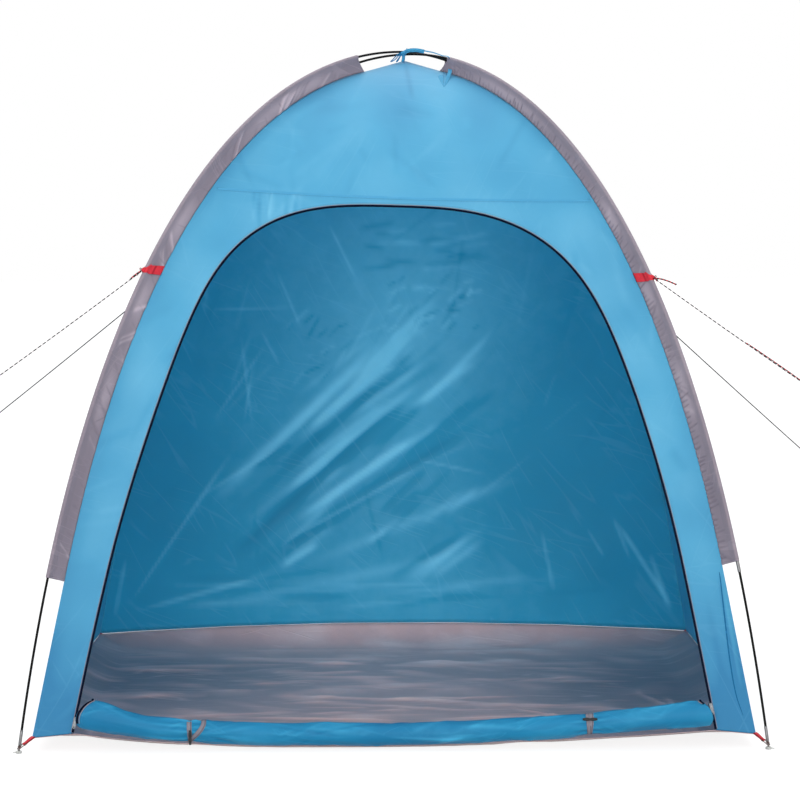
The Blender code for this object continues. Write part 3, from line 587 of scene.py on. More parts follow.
class Finish(Nodes):
    """A material with short calls for its nodes."""

    def __init__(self, name):
        self.material = bpy.data.materials.new(name)
        self.material.use_nodes = True
        super().__init__(self.material.node_tree)
        self.shader = self.tree.nodes["Principled BSDF"]
        self.surface = self.tree.nodes["Material Output"].inputs["Surface"]
        place = self.add("ShaderNodeTexCoord")
        self.where, self.uv = place.outputs["Object"], place.outputs["UV"]

    def ramp(self, value, low, high, start=0.0, stop=1.0):
        inputs = {"Value": value, "From Min": low, "From Max": high, "To Min": start, "To Max": stop}
        return self.add("ShaderNodeMapRange", inputs, interpolation_type="SMOOTHSTEP")

    def noise(self, where, scale, detail=3.0, roughness=0.5):
        return self.add("ShaderNodeTexNoise", {"Vector": where, "Scale": scale, "Detail": detail,
                                               "Roughness": roughness})

    def mix(self, factor, a, b):
        node = self.add("ShaderNodeMix", {0: factor, 6: a, 7: b}, data_type="RGBA", blend_type="MIX")
        return node.outputs[2]

    def stretched(self, where, scale):
        return self.add("ShaderNodeMapping", {"Vector": where, "Scale": scale})

    def split_uv(self):
        return self.add("ShaderNodeSeparateXYZ", {0: self.uv}).outputs

    def wave(self, along, length):
        return self.math("SINE", self.math("MULTIPLY", along, math.tau / length))

    def set(self, **values):
        for key, value in values.items():
            self.put(self.shader.inputs[key.replace("_", " ")], value)

    def bump(self, height, distance, strength):
        bump = self.add("ShaderNodeBump", {"Height": height, "Distance": distance, "Strength": strength})
        self.put(self.shader.inputs["Normal"], bump)
        return bump


def opaque(colour, share=1.0, more=0.0):
    """A colour with its alpha, brighter or darker by a share."""
    return (*(min(c * share + more, 1.0) for c in colour), 1.0)


def crease_lines(f, turn, shift, spacing):
    """Long fine lines near one direction, as sharp folds leave in proofed cloth."""
    turned = f.add("ShaderNodeMapping", {"Vector": f.uv, "Location": (shift, shift * 0.7, 0.0),
                                         "Rotation": (0.0, 0.0, math.radians(turn))})
    drawn = f.stretched(turned, (spacing * 0.12, spacing, 1.0))
    level = f.math("ABSOLUTE", f.math("SUBTRACT", f.noise(drawn, 1.0, 1.0), 0.5))
    shown = f.ramp(f.noise(turned, 4.5, 1.0), 0.50, 0.60)
    return f.math("MULTIPLY", f.ramp(level, 0.0, 0.020, 1.0, 0.0), shown)


def cloth_finish(name, colour, highlight_and_crease_colour, shade_and_patch_colour, glow, crumple, turns, roughness=0.62, patches=0.5, sheen=0.1,
                 spacing=11.0, gloss=0.35):
    """Thin proofed cloth: plain weave, soft unevenness, fine pale fold lines, painted highlights on raised
    folds and painted shade in hollows, and light through it.
    """
    f = Finish(name)
    colour, highlight_and_crease_colour, shade_and_patch_colour = opaque(colour), opaque(highlight_and_crease_colour), opaque(shade_and_patch_colour)
    fold_share, weave_scale = 0.9, 210.0
    crease = crease_lines(f, turns[0], 0.3, spacing)
    for index, turn in enumerate(turns[1:]):
        more = crease_lines(f, turn, 1.7 + index, spacing * (1.2 + 0.5 * index))
        crease = f.math("MAXIMUM", crease, more)
    # The fold attribute paints highlights on raised folds and shade in hollows
    fold = f.add("ShaderNodeAttribute", attribute_name="fold").outputs["Fac"]
    cloud = f.ramp(f.noise(f.where, 1.9, 4.0, 0.6), 0.34, 0.66)
    mottle = f.ramp(f.noise(f.where, 19.0, 3.0, 0.6), 0.35, 0.65, -0.10, 0.10)
    up = f.math("MULTIPLY", f.math("ADD", fold, f.math("MULTIPLY", mottle, crumple)), fold_share, clamp=True)
    down = f.math("MULTIPLY", fold, -fold_share, clamp=True)
    base = f.mix(f.math("MULTIPLY", cloud, patches), colour, shade_and_patch_colour)
    base = f.mix(down, f.mix(up, base, highlight_and_crease_colour), shade_and_patch_colour)
    base = f.mix(f.math("MULTIPLY", crease, 0.34 * crumple), base, highlight_and_crease_colour)
    weft, warp = (f.add("ShaderNodeTexWave", {"Vector": f.uv, "Scale": weave_scale, "Distortion": 0.4},
                        bands_direction=way).outputs[1] for way in "XY")
    weave = f.math("MULTIPLY", f.math("ADD", weft, warp), 0.05)
    rumple = f.math("MULTIPLY", f.noise(f.where, 26.0, 3.0, 0.55), 0.9 * crumple)
    height = f.math("ADD", f.math("ADD", weave, rumple), f.math("MULTIPLY", crease, 0.45 * crumple))
    bump = f.bump(height, 0.0026, 0.6)
    f.set(Base_Color=base, Roughness=roughness, Specular_IOR_Level=gloss, Sheen_Weight=sheen,
          Sheen_Roughness=0.5)
    through = f.add("ShaderNodeBsdfTranslucent", {"Color": base, "Normal": bump})
    f.put(f.surface, f.add("ShaderNodeMixShader", {0: glow, 1: f.shader, 2: through}))
    return f.material


def metal_finish(name, colour, roughness):
    """Drawn metal with fine scratches and dull spots."""
    f = Finish(name)
    dull = f.ramp(f.noise(f.where, 240.0), 0.35, 0.75)
    scratches = f.noise(f.stretched(f.where, (900.0, 900.0, 90.0)), 1.0, 2.0)
    f.set(Base_Color=f.mix(dull, opaque(colour), opaque(colour, 0.72)), Metallic=1.0,
          Roughness=f.ramp(scratches, 0.2, 0.8, roughness * 0.8, roughness * 1.3))
    f.bump(scratches, 0.00006, 0.4)
    return f.material


def plastic_finish(name, colour, roughness, gloss=0.5):
    """Moulded plastic with a faint grain and rubbed high spots."""
    f = Finish(name)
    rubbed = f.ramp(f.noise(f.where, 120.0), 0.5, 0.8)
    f.set(Base_Color=f.mix(rubbed, opaque(colour), opaque(colour, 1.5, 0.01)),
          Roughness=f.ramp(rubbed, 0.0, 1.0, roughness, roughness + 0.15), Specular_IOR_Level=gloss)
    f.bump(f.noise(f.where, 900.0, 2.0), 0.00008, 0.5)
    return f.material


def rod_finish(name):
    """Black fibre rod: long fibres under a dull gloss."""
    f = Finish(name)
    fibres = f.noise(f.stretched(f.uv, (2400.0, 40.0, 1.0)), 1.0)
    f.set(Base_Color=f.mix(f.ramp(fibres, 0.4, 0.8), opaque([0.003] * 3), opaque([0.009] * 3)),
          Roughness=f.ramp(fibres, 0.2, 0.8, 0.46, 0.60), Specular_IOR_Level=0.06)
    f.bump(fibres, 0.00005, 0.5)
    return f.material


def webbing_finish(name, colour, edge, width, gloss=0.25):
    """Woven tape: ribs across it and darker edges."""
    f = Finish(name)
    across, along, _ = f.split_uv()
    rib_pitch, thread_pitch = 0.0016, 0.0011
    ribs, threads = f.wave(along, rib_pitch), f.wave(across, thread_pitch)
    weave = f.math("MULTIPLY", f.math("MULTIPLY", ribs, threads), 0.5)
    folded = f.math("MODULO", f.math("ADD", across, width * 0.5), width)
    middle = f.math("ABSOLUTE", f.math("SUBTRACT", folded, width * 0.5))
    rim = f.ramp(middle, width * 0.16, width * 0.02)
    worn = f.ramp(f.noise(f.where, 160.0), 0.4, 0.75, 0.0, 0.35)
    base = f.mix(worn, opaque(colour), opaque(colour, 1.35, 0.01))
    f.set(Base_Color=f.mix(rim, base, opaque(edge)), Roughness=0.78, Specular_IOR_Level=gloss)
    f.bump(weave, 0.00025, 0.8)
    return f.material


def cord_finish(name, colour, fleck, pitch, share, dash=None):
    """Braided cord: slanted strands with flecks of another colour, or plain rings where dash is given."""
    f = Finish(name)
    around, along, _ = f.split_uv()
    girth, strands_round = 0.0075, 2.0
    turn = f.math("MULTIPLY", around, strands_round * math.tau / girth)
    rise = f.math("MULTIPLY", along, math.tau / pitch)
    strands = f.math("MULTIPLY", f.math("SINE", f.math("ADD", rise, turn)),
                     f.math("SINE", f.math("SUBTRACT", rise, turn)))
    if dash:
        dashes = f.wave(along, dash)
    else:
        dashes = f.math("SINE", f.math("ADD", f.math("MULTIPLY", rise, 0.5), f.math("MULTIPLY", turn, 0.5)))
    flecks = f.ramp(dashes, share, share + 0.25)
    f.set(Base_Color=f.mix(flecks, opaque(colour), opaque(fleck)), Roughness=0.8, Specular_IOR_Level=0.25)
    f.bump(strands, 0.0003, 0.8)
    return f.material


# A cloth's own colour, then a brighter one that paints highlights on its raised folds and also colours its
# pale creases, and a darker one that paints shade in its hollows and also colours its uneven patches
FRONT_CLOTH = cloth_finish(
    "wall_cloth_outside", (0.112, 0.500, 0.772), (0.235, 0.665, 0.905), (0.038, 0.272, 0.538),
    0.30, 0.28, (60.0, 120.0, 8.0), patches=0.20)
INNER_CLOTH = cloth_finish(
    "wall_cloth_inside", (0.078, 0.525, 0.665), (0.420, 0.840, 0.930), (0.046, 0.435, 0.585),
    0.60, 0.35, (47.0, 60.0, 20.0), roughness=0.40, patches=0.3, gloss=0.5)
DOOR_CLOTH = cloth_finish(
    "door_cloth_inside", (0.010, 0.240, 0.460), (0.050, 0.400, 0.660), (0.004, 0.140, 0.320),
    0.05, 0.6, (12.0, 35.0, 160.0), roughness=0.5, spacing=22.0, gloss=0.22, sheen=0.03)
SLEEVE_CLOTH = cloth_finish(
    "sleeve_cloth", (0.331, 0.284, 0.336), (0.560, 0.470, 0.540), (0.200, 0.170, 0.215),
    0.08, 0.5, (8.0, 120.0), roughness=0.7, spacing=30.0)
FLOOR_CLOTH = cloth_finish(
    "floor_cloth", (0.820, 0.527, 0.500), (0.930, 0.700, 0.670), (0.200, 0.200, 0.245),
    0.05, 1.0, (4.0, 162.0, 20.0), roughness=0.42, patches=0.30, spacing=9.0, gloss=0.5)
PIPING_CLOTH = cloth_finish(
    "zip_piping", (0.330, 0.270, 0.300), (0.400, 0.340, 0.370), (0.270, 0.230, 0.260),
    0.0, 0.2, (40.0, 100.0, 5.0))
ROD = rod_finish("pole_black")
SILVER = metal_finish("pole_metal", (0.20, 0.20, 0.205), 0.45)
ZIP_METAL = metal_finish("zip_metal", (0.13, 0.14, 0.15), 0.42)
ZIP_BLACK = webbing_finish("zip_tape", (0.004, 0.006, 0.020), (0.003, 0.004, 0.008), 0.006, gloss=0.03)
COIL_BLACK = plastic_finish("zip_coil", (0.003, 0.004, 0.008), 0.5, gloss=0.03)
TOGGLE_BLACK = plastic_finish("toggle_black", (0.010, 0.010, 0.011), 0.35, gloss=0.3)
POINT_BLUE = webbing_finish("tape_point_blue", (0.070, 0.330, 0.560), (0.050, 0.260, 0.460), 0.004)
# A darker copy of the blue tape and cloth: painted shade for the side fold and the bow's loops
SHADE_BLUE = plastic_finish("painted_shade_blue", (0.012, 0.150, 0.330), 0.8, gloss=0.1)
CAP_GREY = plastic_finish("cap_grey", (0.46, 0.47, 0.45), 0.5)
TIE_WEBBING = webbing_finish("tie_webbing", (0.230, 0.215, 0.250), (0.100, 0.095, 0.120), 0.010)
STRAP_RED = webbing_finish("strap_red", (0.560, 0.025, 0.040), (0.110, 0.004, 0.010), 0.012)
PATCH_RED = webbing_finish("patch_red", (0.680, 0.032, 0.050), (0.420, 0.012, 0.025), 0.030)
TAPE_BLUE = webbing_finish("tape_blue", (0.050, 0.300, 0.520), (0.030, 0.200, 0.380), 0.008)
LOOP_BROWN = cord_finish("loop_brown", (0.100, 0.062, 0.055), (0.330, 0.240, 0.220), 0.004, 0.55)
GUY_FRONT = cord_finish(
    "guy_cord_front", (0.040, 0.030, 0.032), (0.800, 0.740, 0.740), 0.0055, 0.30, dash=0.0170)
GUY_BACK = cord_finish("guy_cord_back", (0.036, 0.036, 0.040), (0.110, 0.110, 0.120), 0.0055, 0.70)
GUY_RED = cord_finish(
    "guy_cord_red", (0.520, 0.050, 0.060), (0.018, 0.010, 0.012), 0.0060, -0.10, dash=0.0125)
THREAD_BLUE = plastic_finish("thread_blue", (0.050, 0.260, 0.470), 0.8)
THREAD_GREY = plastic_finish("thread_grey", (0.190, 0.160, 0.190), 0.8)


# Camera, floor and light: the camera's angles, its place and its lens in millimetres
YAW = math.radians(0.18)
PITCH = math.radians(3.90)
ROLL = -0.005
CAMERA_SPOT = (-0.004, -8.681, 1.421)
LENS = 138.24
FLOOR_HALF = 40.0
WHITE = (1.0, 1.0, 1.0, 1.0)
# For each lamp: its strength, how many degrees wide it is, and the way its light goes
LAMPS = {
    "lamp_low": (2.30, 44.0, (0.02, 1.0, -0.10)),
    "lamp_high": (0.65, 40.0, (-0.20, 0.85, -1.0)),
    "lamp_back": (2.20, 60.0, (0.15, -0.62, -1.0)),
    "lamp_left": (0.45, 60.0, (1.0, 0.10, -0.8)),
    "lamp_right": (0.45, 60.0, (-1.0, 0.10, -0.8)),
}


def make_camera():
    forward = Vector((math.sin(YAW) * math.cos(PITCH), math.cos(YAW) * math.cos(PITCH), -math.sin(PITCH)))
    level = Vector((math.cos(YAW), -math.sin(YAW), 0.0))
    upright = level.cross(forward)
    right = level * math.cos(ROLL) + upright * math.sin(ROLL)
    up = upright * math.cos(ROLL) - level * math.sin(ROLL)
    data = bpy.data.cameras.new("camera")
    data.sensor_width = 36.0
    data.lens = LENS
    data.clip_end = 200.0
    camera = bpy.data.objects.new("camera", data)
    turn = Matrix((right, up, -forward)).transposed().to_4x4()
    camera.matrix_world = Matrix.Translation(CAMERA_SPOT) @ turn
    bpy.context.scene.collection.objects.link(camera)
    bpy.context.scene.camera = camera


def make_surround():
    """A world that is seen white and lights the object more softly."""
    world = bpy.data.worlds.new("surround")
    bpy.context.scene.world = world
    world.use_nodes = True
    world.node_tree.nodes.clear()
    around = Nodes(world.node_tree)
    dim = around.add("ShaderNodeBackground", {"Color": (0.96, 0.98, 1.0, 1.0), "Strength": 0.22})
    white = around.add("ShaderNodeBackground", {"Color": WHITE})
    mixed = around.add("ShaderNodeMixShader", {0: around.seen(), 1: dim, 2: white})
    around.add("ShaderNodeOutputWorld", {"Surface": mixed})


def make_floor():
    """A floor that is seen white and keeps the shadow."""
    floor = Finish("floor_white")
    floor.set(Base_Color=(0.62, 0.62, 0.62, 1.0), Roughness=0.9, Specular_IOR_Level=0.0)
    lit = floor.add("ShaderNodeBsdfDiffuse", {"Color": (0.24, 0.24, 0.24, 1.0)})
    own = floor.add("ShaderNodeEmission", {"Color": WHITE, "Strength": 0.85})
    pale = floor.add("ShaderNodeAddShader", {0: lit, 1: own})
    floor.put(floor.surface, floor.add("ShaderNodeMixShader", {0: floor.seen(), 1: floor.shader, 2: pale}))
    corners = [(x * FLOOR_HALF, y * FLOOR_HALF, 0.0) for x, y in ((-1, -1), (1, -1), (1, 1), (-1, 1))]
    mesh = mesh_from(corners, [(0, 1, 2, 3)])
    mesh.materials.append(floor.material)
    ground = bpy.data.objects.new("floor", mesh)
    ground.location = (0.0, 0.0, -0.0005)
    bpy.context.scene.collection.objects.link(ground)


def make_lamps():
    """Soft light from the front, from above and from the sides."""
    for name, (strength, angle, direction) in LAMPS.items():
        data = bpy.data.lights.new(name, "SUN")
        data.energy = strength
        data.angle = math.radians(angle)
        lamp = bpy.data.objects.new(name, data)
        lamp.rotation_mode = "QUATERNION"
        lamp.rotation_quaternion = Vector(direction).to_track_quat("-Z", "Y")
        bpy.context.scene.collection.objects.link(lamp)


bpy.context.scene.view_settings.view_transform = "Standard"
make_camera()
make_surround()
make_floor()
make_lamps()


# Guy ropes: how far from the pole's line they start, and their radii
GUY_START = 0.0090
GUY_SIDES = 10
FRONT_GUY_RADIUS = 0.0014
BACK_GUY_RADIUS = 0.0017
TAIL_RADIUS = 0.0019


def leg_frame(leg, at):
    """On the leg's own plane: the pole's point at a length, and the way from the seam out to it."""
    pole, seam = pole_at(leg, np.array([at]))[0], seam_at(np.array([at]))[0]
    return pole, unit(pole - seam)


def guy_start(leg):
    pole, out = leg_frame(leg, GUYS[leg][0])
    return pole + out * GUY_START


def knot(name, centre, size, material, slot="guy_cord"):
    """A small overhand knot: a cord wound round itself."""
    turns = np.linspace(0.0, math.tau, 60, endpoint=False)
    x = np.sin(turns) + 2.0 * np.sin(2.0 * turns)
    y = np.cos(turns) - 2.0 * np.cos(2.0 * turns)
    z = -1.3 * np.sin(3.0 * turns)
    line = np.stack([x, z, y], axis=-1) * size / 3.0 * 0.62 + np.asarray(centre)
    return swept_piece(name, [sweep(line, round_section(8, size * 0.34), closed=True)], material, slot)


def rope_line(leg, share, aside=0.0):
    """The taut rope's points at shares of its length, or those of a strand beside it."""
    start = guy_start(leg)
    _, reach, drop = GUYS[leg]
    sag = GUY_SAG * 4.0 * share * (1.0 - share)
    return place(leg, start[0] + reach * share, start[1] - drop * share - sag + aside, aside * 0.4)


def cord_piece(name, line, radius, sides, material, ending=None, replaces=None):
    """A free cord along a line; ending gives the name, the place and the size of the knot at its end."""
    strand = sweep(line, round_section(sides, radius))
    rope = swept_piece(name, [strand], material, "guy_cord", replaces=replaces)
    knots = [knot(*ending, material)] if ending else []


def guy_rope(leg, radius, material):
    name = f"guy_rope_{leg}"
    line = rope_line(leg, np.linspace(0.0, 1.0, 61))
    ending = (name + "_knot", line[-1] - unit(line[-1] - line[-2]) * radius * 2.0, radius * 2.2)
    cord_piece(name + "_cord", line, radius, GUY_SIDES, material, ending=ending, replaces=name)
    return line


def second_strand(leg, low, high, radius, aside):
    """A red strand beside the rope, from one share of its length to another."""
    off = aside * np.sin(np.linspace(0.0, 1.0, 24) * math.pi) ** 0.3
    line = rope_line(leg, np.linspace(low, high, 24), off)
    cord_piece(f"guy_rope_{leg}_doubled", line, radius, 8, GUY_RED)


def rope_tail():
    """The free end at the right patch: thick, stiff and bent a little down."""
    leg, name = "front_right", "guy_rope_front_right_tail"
    steps = np.array([(0.004, 0.0), (0.030, -0.0022), (0.056, -0.0075), (0.081, -0.0150)])
    flat = smooth_line(guy_start(leg) + steps)
    line = place(leg, flat[:, 0], flat[:, 1], -0.004)
    ending = (name + "_knot", line[-1], 0.0030)
    cord_piece(name, line, TAIL_RADIUS, GUY_SIDES, GUY_RED, ending)


ROPES = {
    leg: guy_rope(leg, *((FRONT_GUY_RADIUS, GUY_FRONT) if side_y < 0 else (BACK_GUY_RADIUS, GUY_BACK)))
    for leg, (_, side_y, _) in LEGS.items()
}
second_strand("front_right", 0.60, 0.985, 0.0013, 0.0028)
second_strand("front_left", 0.010, 0.080, 0.0015, 0.0040)
rope_tail()


# Poles and feet

def pole_line(leg_a, leg_b, lengths):
    """Points along a whole pole, from the foot of one leg to the foot of the other."""
    points = []
    for length in lengths:
        leg, up = (leg_a, length) if length <= HALF_LENGTH else (leg_b, 2.0 * HALF_LENGTH - length)
        spot = pole_at(leg, np.asarray(up, float))
        points.append(place(leg, spot[0], spot[1]))
    return np.array(points)


def tip_marks():
    """Spike and tip at a pole's end: lengths up the pole, radii, and 1 where it is metal."""
    foot = (CAP_FLOOR + GAP + SPIKE_RADIUS * math.sin(FOOT_LEAN)) / math.cos(FOOT_LEAN)
    top = SPIKE_LENGTH + TIP_LENGTH
    return [(foot, SPIKE_RADIUS * 0.55, 1), (foot + 0.0015, SPIKE_RADIUS, 1),
            (SPIKE_LENGTH - 0.001, SPIKE_RADIUS, 1), (SPIKE_LENGTH, TIP_RADIUS * 0.8, 1),
            (SPIKE_LENGTH + 0.0015, TIP_RADIUS, 1), (top - 0.001, TIP_RADIUS, 1),
            (top, TIP_RADIUS * 0.93, 1), (top + 0.0002, ROD_RADIUS, 0)]


def ferrule_marks(middle):
    """The ferrule over a joint: rounded ends, and a fine groove where the two sections meet."""
    half = FERRULE_LENGTH / 2.0
    shape = ((0.0004 - half, 0.94), (0.0012 - half, 1.0), (-0.0008, 1.0), (0.0, 0.95), (0.0008, 1.0),
             (half - 0.0012, 1.0), (half, 0.92))
    return [(middle + step, FERRULE_RADIUS * share, 1) for step, share in shape]


def pole_sections(leg_a, leg_b, pole):
    """Rods with metal ferrules and tips, section by section, as the solids have them."""
    whole, half, sides = 2.0 * HALF_LENGTH, FERRULE_LENGTH / 2.0, 14
    ends = [0.0] + JOINTS + [whole - length for length in reversed(JOINTS)] + [whole]
    tip, bare = tip_marks(), SPIKE_LENGTH + TIP_LENGTH + 0.001
    for index in range(SECTIONS):
        low, high = ends[index], ends[index + 1]
        first = low + half + GAP if index else bare
        last = high - half if index < SECTIONS - 1 else whole - bare
        steps = max(int((last - first) / 0.016), 2)
        marks = [(length, ROD_RADIUS, 0) for length in np.linspace(first, last, steps)]
        if index == 0:
            marks = tip + marks
        if index < SECTIONS - 1:
            marks += ferrule_marks(high)
        else:
            marks += [(whole - length, radius, 1) for length, radius, _ in reversed(tip[:-1])]
        lengths, radii, metal = (np.array(column) for column in zip(*marks))
        verts, faces, uv = sweep(pole_line(leg_a, leg_b, lengths), round_section(sides), radii)
        finish = np.concatenate([np.repeat(metal[:-1] & metal[1:], sides), metal[[0, -1]]])
        node = f"{pole}_section_{index + 1}"
        add_piece(node + "_rod", mesh_from(verts, faces, uv, finish), [ROD, SILVER], "pole", replaces=node)


pole_sections("front_left", "back_right", "pole_left")
pole_sections("front_right", "back_left", "pole_right")


def lathe(profile, centre, sides=28):
    """Points and faces of a turned shape from radii and heights, bottom first."""
    turns = np.linspace(0.0, math.tau, sides, endpoint=False)
    verts = [(r * math.cos(a), r * math.sin(a), z) for r, z in profile for a in turns]
    uv = [(r * a, z) for r, z in profile for a in turns]
    return np.array(verts) + centre, tube_faces(len(profile), sides), np.array(uv)


def level_ways(leg):
    """The ways out from the middle along a leg and across it, both level."""
    side_x, side_y, _ = LEGS[leg]
    return np.array([side_x, side_y, 0.0]) / ROOT_2, np.array([-side_y, side_x, 0.0]) / ROOT_2


def foot_caps():
    """Turned caps under the spikes, each with two short arms that reach down to the ground."""
    r, h = CAP_RADIUS, CAP_HEIGHT
    profile = [(r * 0.94, 0.0), (r, 0.0006), (r, h * 0.5), (r * 0.93, h * 0.8), (r * 0.78, h * 0.97),
               (r * 0.55, h), (0.0036, h * 0.93), (0.0033, CAP_FLOOR + 0.0004), (0.0030, CAP_FLOOR)]
    for leg in LEGS:
        centre = place(leg, FOOT_OUT - CAP_FLOOR * math.tan(FOOT_LEAN), 0.0)
        out, across = level_ways(leg)
        parts = [lathe(profile, centre)]
        for turn in (-0.9, 0.7):
            way = out * math.cos(turn) + across * math.sin(turn)
            arm = [centre + way * r * reach + (0.0, 0.0, height)
                   for reach, height in ((0.8, h * 0.4), (1.3, h * 0.35), (1.9, 0.0016))]
            parts.append(sweep(smooth_line(arm, 5), round_section(8), np.linspace(0.0018, 0.0009, 11)))
        name = f"foot_cap_{leg}"
        swept_piece(name + "_pegged", parts, CAP_GREY, "foot_cap", replaces=name)


foot_caps()

# On a leg's own plane: where the loop holds the spike, the cloth's corner, the way to it, and the loop's eye
SPIKE_POINT = np.array([FOOT_OUT - LOOP_HEIGHT * math.tan(FOOT_LEAN), LOOP_HEIGHT])
CLOTH_CORNER = np.array([CORNER_OUT, CORNER_HEIGHT])
INWARDS = unit(CLOTH_CORNER - SPIKE_POINT)
LOOP_EYE = SPIKE_POINT + INWARDS * LOOP_LENGTH
WRAP_RADIUS = 0.0036
STRAP_WIDTH = 0.012
STRAP_THICKNESS = 0.0010


def corner_loop(leg):
    """Cord from the corner's webbing round the spike, with two more turns round the spike above it."""
    slant = math.cos(FOOT_LEAN + math.acos(-INWARDS[0]))
    hold = (SPIKE_RADIUS + LOOP_CORD_RADIUS + GAP) / slant / math.cos(math.pi / 12.0)
    flat = [(-hold * math.sin(a), hold * math.cos(a)) for a in np.linspace(0.0, math.pi, 9)]
    one_side = ((0.55, 0.0042), (0.92, 0.0078), (1.0, 0.0060), (1.0, 0.0))
    flat += [(LOOP_LENGTH * share, -aside) for share, aside in one_side]
    flat += [(LOOP_LENGTH * share, aside) for share, aside in one_side[2::-1]]
    flat = np.array(flat)
    spot = SPIKE_POINT + INWARDS * flat[:, :1]
    line = smooth_line(place(leg, spot[:, 0], spot[:, 1], flat[:, 1]), 6, closed=True)
    turns = np.linspace(0.0, 2.0 * math.tau, 60)
    up = np.array([-math.sin(FOOT_LEAN), math.cos(FOOT_LEAN)])
    wrap = SPIKE_POINT + up * np.linspace(0.0016, 0.0056, 60)[:, None]
    wrap += np.cos(turns)[:, None] * (WRAP_RADIUS, 0.0006)
    parts = [sweep(line, round_section(10, LOOP_CORD_RADIUS), closed=True),
             sweep(place(leg, wrap[:, 0], wrap[:, 1], WRAP_RADIUS * np.sin(turns)), round_section(8, 0.0011))]
    name = f"corner_loop_{leg}"
    swept_piece(name + "_cord", parts, LOOP_BROWN, "loop_cord", replaces=name)


def corner_strap(leg):
    """Webbing folded round the loop, wider where it is sewn to the cloth's corner."""
    length = float(np.linalg.norm(CLOTH_CORNER - LOOP_EYE)) + 0.004
    shares = (0.75, 0.5, 0.3)
    fold = [(length, 0.0010)] + [(length * s, 0.0011 + 0.0004 * math.sin(s * 3.0)) for s in shares]
    fold += [(0.0024 * math.cos(a), 0.0024 * math.sin(a)) for a in np.linspace(0.9, math.tau - 0.9, 11)]
    fold += [(length * s, -0.0011) for s in reversed(shares)] + [(length, -0.0010)]
    fold = smooth_line(fold, 4)
    spot = LOOP_EYE + INWARDS * fold[:, :1] + quarter_turn(INWARDS) * fold[:, 1:]
    line = place(leg, spot[:, 0], spot[:, 1])
    wide = wide_only(0.78 + 0.42 * blend_in(fold[:, 0] / length))
    up = np.cross(np.gradient(line, axis=0), level_ways(leg)[1])
    name = f"corner_strap_{leg}"
    webbing = sweep(line, flat_section(STRAP_WIDTH, STRAP_THICKNESS), wide, up=up)
    swept_piece(name + "_webbing", [webbing], STRAP_RED, "strap_webbing", replaces=name)


for corner in LEGS:
    corner_loop(corner)
    corner_strap(corner)


# Sleeves: how far round the pole their cloth goes, and the steps of its flat web and of its round part
ROUND_ANGLES = np.radians((-118.0, 118.0))
WEB_STEPS = 14
ROUND_STEPS = 11
LUMP_MIDDLE = 0.0012
SLEEVE_SHAPE = (SLEEVE_INNER + CLOTH, 0.0004 + CLOTH, 0.0006)
SLEEVE_STARTS = {"front_left": 0.450, "front_right": 0.484, "back_right": 0.470, "back_left": 0.462}
# How much sooner each sleeve's top end stops, at its seam and at its pole
SLEEVE_TOP_CUT = {"front_left": (0.012, 0.029), "front_right": (0.004, 0.030),
                  "back_right": (0.006, 0.028), "back_left": (0.006, 0.028)}


def folded_rows(leg, lengths, shape, web_steps, turns, lumps):
    """Cloth folded round the pole, in points: up the leg, and from one edge round to the other."""
    radius, web_half, inner_edge = shape
    pole = pole_at(leg, lengths)
    gap = pole - seam_at(lengths)
    width = np.linalg.norm(gap, axis=1)[:, None]
    outward = gap / width
    angles = np.linspace(*ROUND_ANGLES, turns)
    share = np.linspace(0.0, 1.0, web_steps)
    edge = width - inner_edge
    along_web = -(edge + (1.25 * radius - edge) * share)
    across_web = np.full_like(along_web, web_half)
    across_web += (radius * 0.62 - web_half) * blend_in((share - 0.72) / 0.28) * 0.7
    lump = lumps(lengths[:, None], share[None, :]) if lumps else 0.0
    ring = np.broadcast_to(np.stack([np.cos(angles), np.sin(angles)]) * radius, (len(lengths), 2, turns))
    along = np.hstack([along_web, ring[:, 0], along_web[:, ::-1]])
    across = np.hstack([-across_web - lump, ring[:, 1], (across_web + lump * 0.8)[:, ::-1]])
    spot = pole[:, None, :] + outward[:, None, :] * along[..., None]
    points = place(leg, spot[..., 0], spot[..., 1], across)
    steps = np.linalg.norm(np.diff(points, axis=1), axis=-1)
    around = np.concatenate([np.zeros((len(lengths), 1)), np.cumsum(steps, axis=1)], axis=1)
    uv = np.stack([around, np.broadcast_to(lengths[:, None], around.shape)], axis=-1)
    return points, uv


def folded_cloth(leg, lean, shape, web_steps, turns, lumps=None):
    """The same cloth with rows that don't run straight across: lean is each point's length up the leg.

    shape is the fold's radius, half the web's thickness, and how far its edge lies from the seam."""
    columns = [folded_rows(leg, lengths, shape, web_steps, turns, lumps) for lengths in lean.T]
    web = list(range(web_steps))
    order = web + (list(range(web_steps, len(columns))) or [web_steps - 1] * turns) + web[::-1]
    return [np.stack([columns[source][kind][:, k] for k, source in enumerate(order)], axis=1)
            for kind in (0, 1)]


def gathers(seed, pitch, low, high, strength, slant, groups=()):
    """Small pleats across the sleeve, drawn up by its seam, and groups of long slanted folds."""
    draw = np.random.default_rng(seed)
    folds = []
    at = low
    while at < high:
        folds.append((at, draw.uniform(0.0018, 0.0030), -draw.uniform(0.3, 1.0) * strength,
                      slant * (1.0 + draw.normal()), draw.uniform(0.15, 0.75)))
        at += pitch * draw.uniform(0.75, 1.35)
    for start, stop, count, lean, height in groups:
        for middle in draw.uniform(start, stop, count):
            folds.append((middle, draw.uniform(0.004, 0.008), height * draw.uniform(-1.0, 1.0),
                          lean * draw.uniform(0.7, 1.3), draw.uniform(0.6, 1.1)))

    def lumps(length, share):
        total = np.zeros(np.broadcast(length, share).shape)
        for at, width, height, lean, reach in folds:
            near = np.abs(length[:, 0] - at) < 0.09
            fade = blend_in((reach - share) / 0.3 + 0.6)
            total[near] += height * bell(length[near] - at - lean * share, width) * fade
        total = total * blend_in((1.0 - share) / 0.2)
        wave = np.sin(share * 3.1) * np.sin(length * 17.0 + 2.0 * np.sin(length * 5.0))
        return total + LUMP_MIDDLE + 0.0010 * wave
    return lumps


